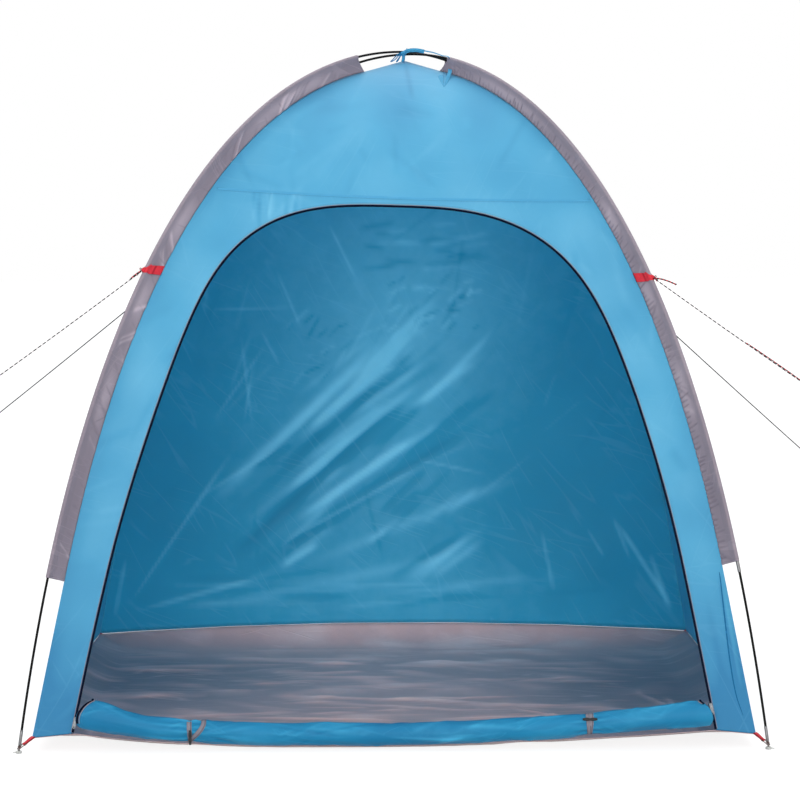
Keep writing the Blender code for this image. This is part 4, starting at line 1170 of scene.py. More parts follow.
SLEEVE_FOLDS = {
    "front_left": gathers(3, 0.060, 0.47, 2.29, 0.0012, 0.020, (
        (1.90, 2.12, 9, 0.060, 0.0022), (1.62, 1.78, 8, 0.055, 0.0020), (1.30, 1.40, 5, 0.05, 0.0024),
        (1.12, 1.22, 4, -0.04, 0.0020), (0.50, 1.10, 7, 0.05, 0.0014))),
    "front_right": gathers(5, 0.0125, 0.50, 2.29, 0.0024, 0.004, (
        (1.05, 1.50, 9, 0.03, 0.0016), (0.50, 1.00, 8, -0.04, 0.0012))),
    "back_right": gathers(7, 0.022, 0.48, 2.29, 0.0018, 0.010, ((0.6, 2.2, 20, 0.04, 0.0016),)),
    "back_left": gathers(9, 0.030, 0.47, 2.29, 0.0018, 0.012, ((0.6, 2.2, 20, 0.04, 0.0016),)),
}


def sleeves():
    stitch_lines, hem_lines = [], []
    web = np.linspace(0.0, 1.0, WEB_STEPS)
    for leg, (side_x, _, over) in LEGS.items():
        start, folds = SLEEVE_STARTS[leg], SLEEVE_FOLDS[leg]
        at_seam, at_pole = SLEEVE_TOP_CUT[leg]
        top = SLEEVE_STOP - at_seam - (at_pole - at_seam) * web
        lengths = start + (top - start)[None, :] * np.linspace(0.0, 1.0, 900)[:, None]
        points, uv = folded_cloth(leg, lengths, SLEEVE_SHAPE, WEB_STEPS, ROUND_STEPS, folds)
        lumps = np.hstack([folds(lengths[:, k:k + 1], web[None, k:k + 1]) for k in range(WEB_STEPS)])
        painted_shading = np.hstack([lumps, np.repeat(lumps[:, -1:], ROUND_STEPS, axis=1), lumps[:, ::-1]])
        # Painted shade: the round part is darker on its side that faces away from the door
        shade = np.zeros(points.shape[1])
        shade[WEB_STEPS + 6:WEB_STEPS + 10] = 0.9
        shade = shade[::side_x]
        name = f"sleeve_{leg}"
        # Painted highlight on the gathers and painted shade between them
        painted_shading = fold_light_and_shade(painted_shading - LUMP_MIDDLE, 0.0022) - shade
        piece = cloth_piece(name, points, uv, [SLEEVE_CLOTH], "sleeve_cloth", painted_shading)
        stitch_lines += [points[::2, column] for column in (1, -2)]
        hem_lines += [points[row] for row in (3, -4)]
    bars_along("sleeve_stitches", stitch_lines, SLEEVE_STITCH, THREAD_GREY, "sleeve_cloth")
    bars_along("sleeve_hem_stitches", hem_lines, SLEEVE_STITCH, THREAD_GREY, "sleeve_cloth")


sleeves()

# Guy patches: how far up the leg their middle lies, how far they drop to the rope's point, and their fold
PATCH_RISE = 0.0135
PATCH_DROP = 0.0075
PATCH_FOLD = 0.0022
PATCH_POINT_WIDTH = 0.016
PATCH_POINT_THICKNESS = 0.0012
EYE_MIDDLE = 0.0060
EYE_HALF_LENGTH = 0.0040
EYE_HALF_WIDTH = 0.0024
PATCH_KNOT = 0.0034


def patch_cloth(leg, name):
    """Red cloth folded level round the sleeve and cut to a point."""
    web, turns = 12, 9
    share = np.linspace(0.0, 1.0, web)
    level = np.linspace(-1.0, 1.0, 17)[:, None]
    # Level edges: the inner end lies higher up the leg than the point on the pole
    outer = np.cos(np.linspace(*ROUND_ANGLES, turns)) + 0.47
    rise = np.concatenate([PATCH_RISE + 0.020 * (1.0 - share), PATCH_RISE - PATCH_DROP * outer])
    half = np.concatenate([0.0140 - 0.0012 * share, 0.0128 - 0.0040 * outer])
    lean = GUYS[leg][0] + rise + level * half
    points, uv = folded_cloth(leg, lean, (SLEEVE_INNER + PATCH_FOLD, 0.0046, PATCH_FOLD), web, turns)
    # Painted shade towards the patch's upper and lower edges, with faint bands
    painted_shading = np.broadcast_to(-0.35 * np.abs(level) ** 6 + 0.1 * np.sin(level * 7.0), points.shape[:2])
    cloth_piece(name, points, uv, [PATCH_RED], "strap_webbing", painted_shading, thickness=0.0008)


def patch_point(leg, name, pole, out, along, start):
    """The patch's point, stiff folded cloth that narrows to the rope's eye."""
    parts = []
    raised = pole + along * (PATCH_RISE - PATCH_DROP * 1.2)
    flat = smooth_line([raised + out * 0.0030, raised * 0.75 + pole * 0.25 + out * 0.0060,
                        start + out * 0.0005, start + out * 0.0045], 5)
    share = np.linspace(0.0, 1.0, len(flat))
    wide = wide_only(np.interp(share, [0, 0.35, 0.8, 1.0], [1.0, 0.80, 0.30, 0.16]))
    across = place(leg, *(flat[0] + along)) - place(leg, *flat[0])
    for side in (-1.0, 1.0):
        path = place(leg, flat[:, 0], flat[:, 1], side * np.linspace(0.0040, 0.0009, len(flat)))
        up = np.cross(across, np.gradient(path, axis=0))
        parts.append(sweep(path, flat_section(PATCH_POINT_WIDTH, PATCH_POINT_THICKNESS), wide, up=up))
    swept_piece(name, parts, PATCH_RED, "strap_webbing")


def guy_patches():
    for leg, (_, side_y, _) in LEGS.items():
        name, start = f"guy_patch_{leg}", guy_start(leg)
        pole, out = leg_frame(leg, GUYS[leg][0])
        along = np.array([-out[1], out[0]])
        patch_cloth(leg, name)
        patch_point(leg, name + "_point", pole, out, along, start)
        turns = np.linspace(0.0, math.tau, 26, endpoint=False)[:, None]
        reach_out, reach_along = EYE_MIDDLE + EYE_HALF_LENGTH * np.cos(turns), EYE_HALF_WIDTH * np.sin(turns)
        ring = start + out * reach_out + along * reach_along
        eye = sweep(place(leg, ring[:, 0], ring[:, 1]), round_section(8, 0.0010), closed=True)
        swept_piece(name + "_eye", [eye], GUY_RED, "strap_webbing")
        rope = ROPES[leg]
        reach = 0.020 if leg == "front_left" else 0.012
        cord = GUY_RED if side_y < 0 else GUY_BACK
        knot(name + "_knot", rope[0] + unit(rope[1] - rope[0]) * reach, PATCH_KNOT, cord)


guy_patches()


# Walls: where the painted shade line beside the right fold lies, how far the side walls are trimmed at their
# ends, and the front cloth's folds
SHADE_LINE_X = 0.838
SHADE_LINE_TOP = 0.42
SIDE_TRIM = 0.0020
FRONT_FOLDS = [
    *scattered(11, 46, (-0.95, 0.05), (-0.45, 1.35), (0.06, 0.26), (0.006, 0.014), (0.0004, 0.0013), 32, 16),
    *scattered(12, 46, (0.45, 0.05), (0.95, 1.35), (0.06, 0.26), (0.006, 0.014), (0.0004, 0.0013), 122, 16),
    *scattered(13, 40, (-0.60, 1.38), (0.66, 1.72), (0.05, 0.22), (0.006, 0.014), (0.0003, 0.0011), 80, 40),
    *scattered(14, 16, (-0.37, 1.36), (-0.24, 1.40), (0.06, 0.11), (0.004, 0.006), (0.0008, 0.0018), 90, 5),
    (0.040, 1.79, 0.062, 1.66, 0.007, -0.0022), (0.84, 0.44, 0.895, 0.10, 0.006, 0.0022),
    (0.80, 0.40, 0.86, 0.08, 0.010, -0.0012),
]


def edge_fade(px, pz, reach):
    """1 in the middle of a wall, 0 at its hips."""
    inside = wall_half(pz) - np.abs(px - middle_shift(pz))
    return blend_in(inside / reach)


def front_relief(px, pz):
    """How far the front cloth stands out of its flat shape."""
    bulge = 0.0012 * edge_fade(px, pz, 0.05)
    return bulge + ridges(px, pz, FRONT_FOLDS) + swell(px, pz, 15, 0.16, 0.0009)


def on_front(line, lift):
    """A line in x and z, laid on the front cloth's flat shape."""
    return np.stack([line[:, 0], -wall_half(line[:, 1]) - lift, line[:, 1]], axis=-1)


def on_folds(line, lift):
    """A line in x and z, laid on the front cloth with its folds."""
    relief = front_relief(line[:, 0], line[:, 1]) * edge_fade(line[:, 0], line[:, 1], 0.018)
    return on_front(line, relief + lift)


def grid_marks(line, heights, top):
    """At which shares of an arch its two sides pass some heights; top is the share of its top."""
    up, down = ([np.argmax(side[:, 1] > height) / (len(side) - 1) for height in heights]
                for side in (line, line[::-1]))
    return [0.0, *up, top, *(1.0 - share for share in reversed(down)), 1.0]


def front_wall():
    """The cloth round the door: a grid from the door's arch out to the hips."""
    arch = arch_outline(float(hem_height(DOOR_SHARE, FRONT_HEM_RISE)), 860)
    heights = np.concatenate([[CORNER_HEIGHT], np.linspace(CORNER_HEIGHT + 0.01, PEAK_HEIGHT, 500)])
    left, right = (np.stack([middle_shift(heights) + sign * wall_half(heights), heights], axis=-1)
                   for sign in (-1, 1))
    outer = resampled(np.vstack([left, right[::-1]]), 3000)
    arch_steps, outer_steps = np.linspace(0, 1, len(arch)), np.linspace(0, 1, len(outer))
    top = arch_steps[np.argmax(arch[:, 0] > 0.035)]
    inner_marks = grid_marks(arch, (0.45, 0.90, 1.25), top)
    wanted = np.interp(arch_steps, inner_marks, grid_marks(outer, (0.45, 0.95, 1.45), 0.5))
    rim = np.stack([np.interp(wanted, outer_steps, outer[:, k]) for k in (0, 1)], axis=-1)
    share = np.linspace(0.0, 1.0, 44)[:, None]
    flat = arch * (1.0 - share[..., None]) + rim * share[..., None]
    x, z = flat[..., 0], flat[..., 1]
    relief = front_relief(x, z)
    hold = blend_in(share / 0.10) * blend_in((1.0 - share) / 0.14)
    points = np.stack([x, -wall_half(z) - relief * hold, z], axis=-1)
    # Painted light half way up the wall and painted shade towards its bottom
    middle, low = blend_in((1.5 - np.abs(z - 1.0) * 1.5) / 1.2), blend_in((0.46 - z) / 0.46)
    # Painted shade: a thin dark line beside the fold that runs down to the right corner
    shade_line = bell(x - SHADE_LINE_X - (SHADE_LINE_TOP - z) * 0.155, 0.004)
    crease = shade_line * blend_in((0.44 - z) / 0.05) * blend_in((z - 0.07) / 0.03)
    # Painted highlight on raised folds, painted light in the middle band, painted shade low down and along
    # the line
    painted_shading = fold_light_and_shade(relief - 0.0025, 0.0050) + 0.42 * middle - 0.90 * low - 0.55 * crease
    piece = cloth_piece("front_wall", points, flat, [FRONT_CLOTH, INNER_CLOTH], "wall_cloth", painted_shading)


front_wall()


BACK_FOLDS = [
    # Folds drawn from the lower left corner
    (-0.30, 0.64, 0.13, 1.04, 0.013, 0.0045), (-0.36, 0.45, 0.14, 0.88, 0.015, 0.0055),
    (-0.32, 0.38, 0.10, 0.68, 0.013, 0.0048), (-0.36, 0.31, 0.14, 0.60, 0.010, 0.0042),
    (-0.36, 0.24, -0.22, 0.33, 0.010, 0.0034), (-0.86, 0.08, -0.48, 0.64, 0.006, 0.0022),
    (-0.56, 0.22, 0.20, 0.95, 0.020, -0.0038), (-0.50, 0.20, 0.32, 0.74, 0.018, -0.0036),
    (-0.60, 0.42, 0.02, 1.00, 0.018, 0.0028), (-0.30, 0.24, 0.46, 0.56, 0.016, 0.0014),
    (-0.60, 0.12, 0.30, 0.30, 0.018, 0.0012), (-0.88, 0.06, -0.83, 0.30, 0.006, 0.0022),
    (-0.83, 0.10, -0.36, 0.23, 0.008, 0.0024),
    # Creases at the left, then at the right corner and in the middle
    (-0.19, 1.33, -0.10, 1.14, 0.004, 0.0016), (-0.35, 1.19, -0.27, 0.99, 0.004, 0.0014),
    (-0.46, 0.99, -0.43, 0.68, 0.004, 0.0014), (0.89, 0.09, 0.68, 0.42, 0.008, 0.0026),
    (0.88, 0.08, 0.80, 0.30, 0.008, 0.0024), (0.68, 0.42, 0.75, 0.25, 0.006, 0.0018),
    (0.46, 0.39, 0.51, 0.14, 0.006, 0.0018), (0.60, 0.38, 0.67, 0.26, 0.006, 0.0018),
    (0.02, 0.60, 0.30, 0.54, 0.004, 0.0016), (-0.58, 1.06, -0.26, 1.07, 0.004, 0.0012),
    (-0.40, 1.00, -0.34, 0.88, 0.004, 0.0014), (-0.38, 0.96, -0.56, 0.70, 0.004, 0.0014),
    (-0.42, 0.90, -0.46, 0.70, 0.004, 0.0012), (-0.62, 0.46, -0.30, 0.66, 0.006, 0.0016),
    # Fine creases round them
    *scattered(21, 34, (0.00, 1.00), (0.28, 1.16), (0.03, 0.08), (0.004, 0.006), (0.0008, 0.0016), 32, 16),
    *scattered(22, 24, (-0.10, 1.18), (0.26, 1.32), (0.06, 0.16), (0.006, 0.009), (0.0006, 0.0014), 4, 7),
    *scattered(23, 44, (-0.80, 0.15), (0.80, 1.45), (0.10, 0.36), (0.0045, 0.006), (0.0003, 0.0009), 56, 20),
    *scattered(27, 40, (-0.40, 0.26), (0.22, 0.98), (0.15, 0.42), (0.009, 0.013), (0.0008, 0.0022), 40, 4),
    *scattered(24, 26, (-0.34, 0.84), (0.10, 1.08), (0.04, 0.10), (0.004, 0.006), (0.0006, 0.0014), 42, 12),
    *scattered(26, 18, (-0.60, 0.10), (0.60, 0.24), (0.20, 0.50), (0.006, 0.010), (0.0006, 0.0012), 3, 3),
]
LEFT_FOLDS, RIGHT_FOLDS = (
    scattered(seed, 90, (-0.9, 0.1), (0.9, 1.6), (0.08, 0.40), (0.006, 0.014), (0.0006, 0.0020), angle, 45.0)
    for seed, angle in ((31, 60.0), (41, 115.0)))
# Painted highlight and shade on the back wall's inner side: paler spots in its middle and at its top, darker
# ones at its left and right
BACK_LIGHT_AND_SHADE = (
    (0.05, 0.98, 0.34, 0.30, 0.50), (-0.10, 0.50, 0.36, 0.28, 0.20), (0.10, 0.16, 0.50, 0.14, 0.16),
    (0.60, 0.50, 0.35, 0.50, -0.14), (-0.75, 0.40, 0.25, 0.60, -0.12), (0.05, 1.40, 0.50, 0.30, 0.34))


def wall(name, start, stop, rise, trim, folds, seed, outward, patches=()):
    """A whole wall between two hips, from its hem to the peak."""
    level = (np.linspace(0.0, 1.0, 212) ** 0.9)[:, None]
    u = np.linspace(-1.0, 1.0, 220)
    base = hem_height(u, rise)
    # Rows are level except near the hem, which curves
    level_rows = CORNER_HEIGHT + (PEAK_HEIGHT - CORNER_HEIGHT) * level
    curved_rows = base + (PEAK_HEIGHT - base) * level
    height = level_rows + (curved_rows - level_rows) * (1.0 - level) ** 3
    out = hip_out(height)
    left, right = place(start, out, height), place(stop, out, height)
    end = np.minimum(trim / np.maximum(np.linalg.norm(right - left, axis=-1), 1e-6), 0.45)
    points = left + (right - left) * (end + (1.0 - 2.0 * end) * (1.0 + u) / 2.0)[..., None]
    across = points[..., 0] if outward[1] else points[..., 1]
    along = across - middle_shift(height) if outward[1] else across
    inside = wall_half(height) - np.abs(along)
    hold = blend_in(inside / 0.030) * blend_in((height - base) / 0.030)
    sharp = ridges(across, height, folds)
    relief = swell(along, height, seed, 0.30, 0.0030) - sharp - 0.0050 * blend_in(inside / 0.30)
    points = points + (relief * hold)[..., None] * outward
    # Painted highlight and shade along the folds, plus the painted spots
    painted_shading = fold_light_and_shade(sharp, 0.0034) * 0.8 + painted_spots(points[..., 0], height, patches)
    uv = np.stack([along, height], axis=-1)
    piece = cloth_piece(name, points, uv, [FRONT_CLOTH, INNER_CLOTH], "wall_cloth", painted_shading)


wall("back_wall", "back_right", "back_left", BACK_HEM_RISE, 0.0, BACK_FOLDS, 25, (0.0, 1.0, 0.0), BACK_LIGHT_AND_SHADE)
wall("left_wall", "back_left", "front_left", SIDE_HEM_RISE, SIDE_TRIM, LEFT_FOLDS, 35, (-1.0, 0.0, 0.0))
wall("right_wall", "front_right", "back_right", SIDE_HEM_RISE, SIDE_TRIM, RIGHT_FOLDS, 45, (1.0, 0.0, 0.0))

# Groundsheet
SHEET_THICKNESS = 0.0015
FLOOR_FOLDS = [
    (-0.83, -0.20, -0.79, -0.80, 0.010, 0.0060), (0.76, -0.10, 0.80, -0.80, 0.010, 0.0060),
    (0.66, 0.02, 0.86, -0.72, 0.012, 0.0055), (-0.72, -0.70, -0.50, -0.72, 0.010, 0.0040),
    (0.30, -0.30, 0.62, -0.66, 0.010, 0.0044), (-0.35, -0.10, 0.30, -0.24, 0.016, 0.0050),
    (-0.45, -0.45, 0.05, -0.52, 0.014, 0.0048), (-0.10, -0.20, 0.42, -0.12, 0.012, 0.0042),
    (0.10, -0.50, 0.50, -0.44, 0.012, 0.0046),
    *scattered(51, 60, (-0.80, -0.86), (0.80, 0.50), (0.20, 0.60), (0.012, 0.026), (0.0014, 0.0044), 3, 12),
    *scattered(52, 70, (-0.80, -0.86), (0.80, 0.20), (0.08, 0.26), (0.008, 0.013), (0.0010, 0.0030), 0, 22),
    *scattered(53, 40, (-0.80, -0.10), (0.80, 0.86), (0.25, 0.70), (0.020, 0.040), (0.0016, 0.0046), 0, 10),
]
# Painted light and shade on the groundsheet: darker at its left and right, paler towards the front
FLOOR_LIGHT_AND_SHADE = (
    (-0.62, 0.10, 0.34, 0.50, -0.70), (0.60, -0.05, 0.28, 0.50, -0.62), (0.0, 0.30, 0.50, 0.14, -0.12),
    (-0.45, -0.70, 0.40, 0.16, 0.35), (0.10, -0.30, 0.35, 0.40, 0.16))


def slope(place_in, start):
    """0 inside a line, rising to 1 at the sheet's edge."""
    return np.maximum(place_in - start, 0.0) / (1.0 - start)


def floor_points(u, v):
    """The tray: a flat floor with sides, a back and a front lip that rise to the walls' hems."""
    side_start = 1.0 - SIDE_SLOPE_WIDTH / CORNER_HALF
    back_start = 1.0 - 3.0 * BACK_SLOPE_WIDTH / CORNER_HALF
    lip_start = 1.0 - (LIP_WIDTH + LIP_WIDTH_GAIN * np.minimum(side_lift(u / DOOR_SHARE), 1.0)) / CORNER_HALF
    # The sides and the back round off into the floor instead of folding along a line
    side = slope(np.abs(u), side_start) ** 1.5 * (hem_height(v, SIDE_HEM_RISE) - HEM_GAP - SHEET_THICKNESS)
    back = slope(v, back_start) ** 2.6 * (hem_height(u, BACK_HEM_RISE) - HEM_GAP - SHEET_THICKNESS)
    lip = slope(-v, lip_start) * (lip_height(u) - SHEET_THICKNESS)
    height = SHEET_THICKNESS + np.maximum(np.maximum(side, back), lip)
    half = wall_half(height) - 0.0009
    return np.stack([u * half + middle_shift(height), v * half, height], axis=-1)


def groundsheet():
    u, v = np.meshgrid(np.linspace(-1.0, 1.0, 225), np.linspace(-1.0, 1.0, 205))
    # Rows lie closer together at the front lip
    v = v - 0.105 * (1.0 - np.abs(v)) * (v < 0)
    points = floor_points(u, v)
    x, y = points[..., 0], points[..., 1]
    folds = np.maximum(ridges(x, y, FLOOR_FOLDS), 0.0) + np.maximum(swell(x, y, 54, 0.24, 0.0022), 0.0)
    points[..., 2] += folds * blend_in((1.0 - np.abs(u)) / 0.05) * blend_in((1.0 - np.abs(v)) / 0.05)
    # Painted highlight on raised folds, painted light paler towards the back, and the painted spots
    painted_shading = fold_light_and_shade(folds - 0.0022, 0.0046) + 0.45 * blend_in((y - 0.45) / 0.40) + painted_spots(x, y, FLOOR_LIGHT_AND_SHADE)
    piece = cloth_piece("groundsheet", points, points[..., :2], [FLOOR_CLOTH], "floor_cloth", painted_shading,
                        thickness=0.0012)


groundsheet()


# Door zip, piping and seams: how far into the door each line lies, and how far it stands off the cloth
TAPE_LINE = (0.0022, 0.0004)
COIL_LINE = (0.0042, -0.0002)
PIPING_LINE = (-0.0020, 0.0003)
STITCH_LINE = (-0.0060, 0.0003)
ZIP_TAPE_WIDTH = 0.0058
COIL_RADIUS = 0.0010
PIPING_RADIUS = 0.0008
SEAM_LEFT = -0.462
SEAM_RIGHT = 0.528
SEAM_HEIGHT = 1.428
SEAM_WIDTH = 0.0090
SEAM_ROWS = (-0.0034, 0.0034)
SIDE_FOLD = ((0.838, 0.440), (0.8416, 0.410), (0.8593, 0.233), (0.8745, 0.136), (0.8922, 0.080))


def door_zip():
    tape, coil, piping, stitches = (on_front(arch_outline(inset=inset), lift) for inset, lift in (
        TAPE_LINE, COIL_LINE, PIPING_LINE, STITCH_LINE))
    parts = [sweep(tape, flat_section(ZIP_TAPE_WIDTH, 0.0008), up=FACING),
             sweep(coil, round_section(8, COIL_RADIUS))]
    swept_piece("door_zip_tape", parts, ZIP_BLACK, "zip", replaces="door_zip")
    bars_along("door_zip_coil", [coil], ZIP_TEETH, COIL_BLACK, "zip")
    swept_piece("door_piping", [sweep(piping, round_section(8, PIPING_RADIUS))], PIPING_CLOTH, "zip")
    bars_along("door_stitches", [stitches], DOOR_STITCH, THREAD_BLUE, "wall_cloth")


def top_seam():
    """The double seam that joins the door panel to the top piece."""
    x = np.linspace(SEAM_LEFT, SEAM_RIGHT, 200)
    z = SEAM_HEIGHT - 0.036 * (x + 0.46) - 0.010 * np.sin((x + 0.46) * 3.1)
    ends = blend_in((x + 0.47) / 0.05) * blend_in((0.535 - x) / 0.05)
    line = on_folds(np.stack([x, z], axis=-1), 0.0003)
    scale = np.stack([0.6 + 0.4 * ends, ends * 0.9 + 0.1], axis=-1)
    band = sweep(line, flat_section(SEAM_WIDTH, 0.0011), scale, up=FACING)
    swept_piece("front_seam_band", [band], FRONT_CLOTH, "wall_cloth")
    rows = [on_folds(np.stack([x, z + row], axis=-1), 0.0011) for row in SEAM_ROWS]
    bars_along("front_seam_stitches", rows, SEAM_STITCH, THREAD_BLUE, "wall_cloth")


def side_fold():
    """A sharp fold that runs down beside the right hip into the corner, drawn as a dark strip of painted
    shade.
    """
    line = smooth_line(SIDE_FOLD, steps=14)
    ends = np.sin(np.linspace(0.05, 0.97, len(line)) * math.pi) ** 0.5
    fold = sweep(on_folds(line, 0.0006), flat_section(0.0036, 0.0010), ends, up=FACING)
    swept_piece("front_side_fold", [fold], SHADE_BLUE, "wall_cloth")


door_zip()
top_seam()
side_fold()


# Rolled door: the points along it and round it, and the rings that close each end
ROLL_STEPS = 420
ROLL_TURNS = 72
END_RINGS = 14
TIE_WIDTH = 0.0125
TIE_THICKNESS = 0.0011


def roll_radius(x, turn):
    """The roll's radius with its layers' edge, the pleats at its ties and its folds."""
    # The cloth's outer edge, a low step that wanders along the lower front
    edge = 3.75 + 0.20 * np.sin(x * 4.1 + 0.6) + 0.08 * np.sin(x * 11.0)
    radius = roll_size(x) - 0.0022 * np.mod(turn - edge, math.tau) / math.tau + 0.0008
    for tie, left, right in ((TIE_LEFT_X, 0.060, 0.030), (TIE_RIGHT_X, 0.022, 0.026)):
        gap = x - tie
        near = np.exp(-np.abs(gap) / np.where(gap < 0, left, right)) * (1.0 - bell(gap, 0.008))
        wide = 0.0030 * np.sin(turn * 9.0 + np.sin(x * 40.0) * 0.6 + tie * 7.0)
        radius += near * (wide + 0.0014 * np.sin(turn * 14.0 + 1.3))
    folds = scattered(61, 150, (-0.78, 0.0), (0.78, 0.18), (0.06, 0.26), (0.003, 0.007), (0.0006, 0.0019),
                      10, 14)
    return radius + ridges(x, turn * ROLL_RADIUS, folds) + swell(x, np.sin(turn) * 0.05, 62, 0.15, 0.0011)


def end_rings(ring, sign):
    """Rings that close one end of the roll, stepped like its layers, from the outside in."""
    centre = ring.mean(axis=0)
    return [centre + (ring - centre) * (1.0 - step / (END_RINGS + 1.0))
            + (sign * (-0.0035 * (step % 2) + 0.0020 - 0.0004 * step), 0.0, 0.0)
            for step in range(1, END_RINGS + 1)]


def rolled_door():
    """The roll; gives its points, in rings from the left end to the right one."""
    x, turn = np.meshgrid(np.linspace(-ROLL_HALF_LENGTH, ROLL_HALF_LENGTH, ROLL_STEPS),
                          np.linspace(0.0, math.tau, ROLL_TURNS, endpoint=False), indexing="ij")
    radius = roll_radius(x, turn)
    # Taller and looser where the panel goes up to the zip
    lift = blend_in((-x - 0.62) / 0.15)
    tall = 1.0 + 0.30 * lift + 0.10 * blend_in((x - 0.60) / 0.16)
    y = ROLL_Y - np.cos(turn) * radius * (1.0 - 0.10 * lift)
    z = roll_centre(x) + 0.006 * lift + np.sin(turn) * radius * tall
    # The ends are cut slanting, along the panel's own zip
    front = np.maximum(np.cos(turn + 0.35), 0.0) ** 0.9
    left_slant = blend_in((-x - 0.66) / 0.14) * (0.031 - 0.039 * front)
    right_slant = blend_in((x - 0.70) / 0.10) * (0.027 * front - 0.015)
    points = np.stack([x + left_slant + right_slant, y, z], axis=-1)
    grid = np.concatenate([end_rings(points[0], -1.0)[::-1], points, end_rings(points[-1], 1.0)])
    faces = [face[::-1] for face in tube_faces(len(grid), ROLL_TURNS)]
    uv = np.stack([grid[..., 0], np.broadcast_to(turn[0] * ROLL_RADIUS, grid.shape[:2])], axis=-1)
    # Painted highlight where the roll stands out and painted shade where it sinks in
    painted_shading = fold_light_and_shade(radius - roll_size(x) + 0.0002, 0.0052)
    painted_shading = np.pad(painted_shading, ((END_RINGS, END_RINGS), (0, 0)), mode="edge")
    mesh = mesh_from(grid.reshape(-1, 3), faces, uv.reshape(-1, 2), painted_shading=painted_shading)
    roll = add_piece("rolled_door_cloth", mesh, [DOOR_CLOTH], "door_cloth", replaces="rolled_door")
    return points


def panel_edges(points):
    """The door panel's own zip, down the roll's two ends to the sliders."""
    for label, ring, low, high, inwards in (("left", points[1], -0.55, 1.62, 0.0055),
                                            ("right", points[-2], 0.95, 1.75, -0.0055)):
        index = np.linspace(low, high, 30) / math.tau * len(ring)
        lower = np.floor(index).astype(int) % len(ring)
        part = (index - np.floor(index))[:, None]
        line = ring[lower] * (1 - part) + ring[(lower + 1) % len(ring)] * part
        out = unit((line - ring.mean(axis=0)) * (0.0, 1.0, 1.0))
        aside = np.array([inwards, 0.0, 0.0])
        half_zip = [sweep(line + out * 0.0012, flat_section(0.0060, 0.0012), up=out),
                    sweep(line + out * 0.0016, round_section(8, 0.0014))]
        swept_piece(f"panel_zip_{label}", half_zip, ZIP_BLACK, "zip")
        piping = sweep(line + out * 0.0014 + aside, round_section(8, 0.0010))
        swept_piece(f"panel_piping_{label}", [piping], PIPING_CLOTH, "zip")
        bars_along(f"panel_stitches_{label}", [line + out * 0.0010 + aside * 2.2], SEAM_STITCH, THREAD_BLUE,
                   "door_cloth")


panel_edges(rolled_door())


def roll_wrap(x, turns, lift):
    """Webbing round the roll: angles from the front up over the top are positive."""
    middle = np.stack([x, np.full(len(x), ROLL_Y), roll_centre(x)], axis=-1)
    out = np.stack([0.0 * turns, -np.cos(turns), np.sin(turns)], axis=-1)
    line = middle + out * (roll_size(x) + lift)[:, None]
    return sweep(line, flat_section(TIE_WIDTH, TIE_THICKNESS), up=out)


def door_ties():
    """Webbing round the roll; its two ends cross the front and hold a toggle."""
    for label, tie, spreads, low in (("left", TIE_LEFT_X, (-0.003, 0.034), -1.25),
                                     ("right", TIE_RIGHT_X, (-0.004, 0.004), -1.2)):
        turns = np.linspace(low, 2.3, 34)
        parts = [roll_wrap(tie + spread * blend_in((turns - low) / 2.2), turns, 0.0016) for spread in spreads]
        turns = np.linspace(2.2, math.tau + low + 0.1, 30)
        parts.append(roll_wrap(tie + 0.0 * turns, turns, 0.0017))
        name = f"door_tie_{label}"
        swept_piece(name + "_webbing", parts, TIE_WEBBING, "tie_webbing", replaces=name)


# For half a toggle: shares of its half length and of its radius
TOGGLE_SHAPE = ((0.10, 0.76), (0.22, 0.98), (0.5, 1.0), (0.80, 0.84), (0.93, 0.66), (0.985, 0.5), (1.0, 0.3))


def toggles():
    """Turned barrels; the left one hangs a little clear of the roll, so that it can turn."""
    shape = [(-share, width) for share, width in TOGGLE_SHAPE[::-1]] + list(TOGGLE_SHAPE)
    shares, widths = (np.array(column) for column in zip(*shape))
    for label, way, forward in (("left", (0.0, 0.0, 1.0), 0.0022), ("right", (1.0, 0.0, 0.0), 0.0)):
        name = f"toggle_{label}"
        low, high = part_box(name)
        centre = np.array((low + high) / 2.0) + FACING * forward
        points = centre + np.array(way) * shares[:, None] * (TOGGLE_LENGTH / 2.0 + 0.004)
        barrel = sweep(points, round_section(18), widths * (TOGGLE_RADIUS + 0.0006))
        swept_piece(name + "_barrel", [barrel], TOGGLE_BLACK, "toggle", body=name, replaces=name)


door_ties()
toggles()

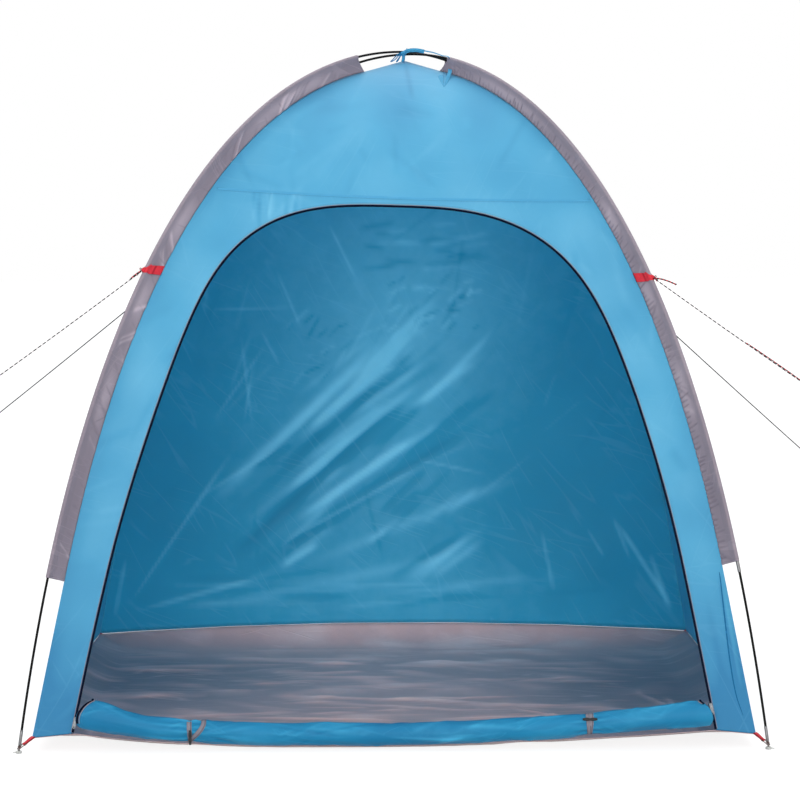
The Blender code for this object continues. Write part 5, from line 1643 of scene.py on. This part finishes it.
# Tie tape at the crossing
# For each part: its points, with heights from the crossing, its width and thickness, and the way it faces
TAPE_PARTS = (
    ([(0.030, -0.012, -0.004), (0.050, -0.012, 0.006), (0.072, -0.013, 0.008), (0.096, -0.014, 0.004)],
     0.0110, 0.0016, (0.0, -1.0, 0.15)),
    ([(0.044, -0.014, -0.008), (0.046, -0.012, 0.006), (0.048, 0.004, 0.009), (0.044, 0.012, 0.002),
      (0.040, 0.008, -0.010)], 0.0100, 0.0012, (1.0, 0.0, 0.0)),
    ([(0.036, -0.006, -0.024), (0.038, -0.010, -0.012), (0.037, -0.012, 0.002)], 0.0090, 0.0010, FACING),
)
BOW_PARTS = (
    ([(0.034, -0.014, 0.002), (0.022, -0.018, -0.004), (0.008, -0.020, -0.018), (0.002, -0.020, -0.024),
      (0.012, -0.021, -0.020), (0.024, -0.018, -0.008), (0.034, -0.015, 0.001)], 0.0028, 0.0010, FACING),
    ([(0.034, -0.015, 0.0), (0.026, -0.020, -0.012), (0.018, -0.022, -0.024), (0.022, -0.021, -0.022),
      (0.032, -0.017, -0.004)], 0.0026, 0.0010, FACING),
)
CROSSING = np.array([0.0, 0.0, CROSSING_HEIGHT])
TAPE_SIDE = np.array([0.0, -1.0, 0.2])


def crossing_tape():
    bow, wraps = ([sweep(smooth_line(CROSSING + points), flat_section(width, thick), up=up)
                   for points, width, thick, up in parts] for parts in (BOW_PARTS, TAPE_PARTS))
    # The bow's loops are drawn in the darker blue: painted shade
    swept_piece("crossing_tape_bow", bow, SHADE_BLUE, "tie_tape")
    swept_piece("crossing_tape_knotted", wraps, TAPE_BLUE, "tie_tape", replaces="crossing_tape")
    knot("crossing_tape_knot", CROSSING + (0.034, -0.017, 0.0), 0.0050, TAPE_BLUE, "tie_tape")
    # Its long end goes forward over the front wall and hangs down there
    over = CROSSING + [(0.096, -0.014, 0.006), (0.122, -0.050, -0.001), (0.145, -0.092, -0.011),
                       (0.162, -0.150, -0.018)]
    hang = on_front(np.array([(0.166, 1.771), (0.165, 1.748), (0.157, 1.725), (0.149, 1.705)]),
                    np.array([0.046, 0.038, 0.0065, 0.0030]))
    line = smooth_line(np.vstack([over, hang]), 10)
    share = np.linspace(0, 1, len(line))
    wide = np.interp(share, [0, 0.30, 0.55, 0.66, 0.9, 1.0], [0.36, 0.24, 0.22, 1.0, 0.9, 0.10])
    end = sweep(line, flat_section(0.0110, 0.0008), wide_only(wide), up=TAPE_SIDE)
    swept_piece("crossing_tape_end", [end], POINT_BLUE, "tie_tape")
    # The tape's end is folded to a point
    folded = on_front(np.array([(0.136, 1.738), (0.139, 1.728), (0.143, 1.716), (0.147, 1.704)]), 0.0022)
    line = smooth_line(folded, 6)
    wide = wide_only(np.linspace(1.0, 0.08, len(line)))
    point = sweep(line, flat_section(0.0230, 0.0006), wide, up=TAPE_SIDE)
    swept_piece("crossing_tape_point", [point], POINT_BLUE, "tie_tape")


crossing_tape()

# Sliders and pull tabs keep their solids
for node in ("zip_slider_left", "zip_slider_right", "zip_pull_left", "zip_pull_right"):
    for material_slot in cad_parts[node].material_slots:
        material_slot.material = ZIP_METAL
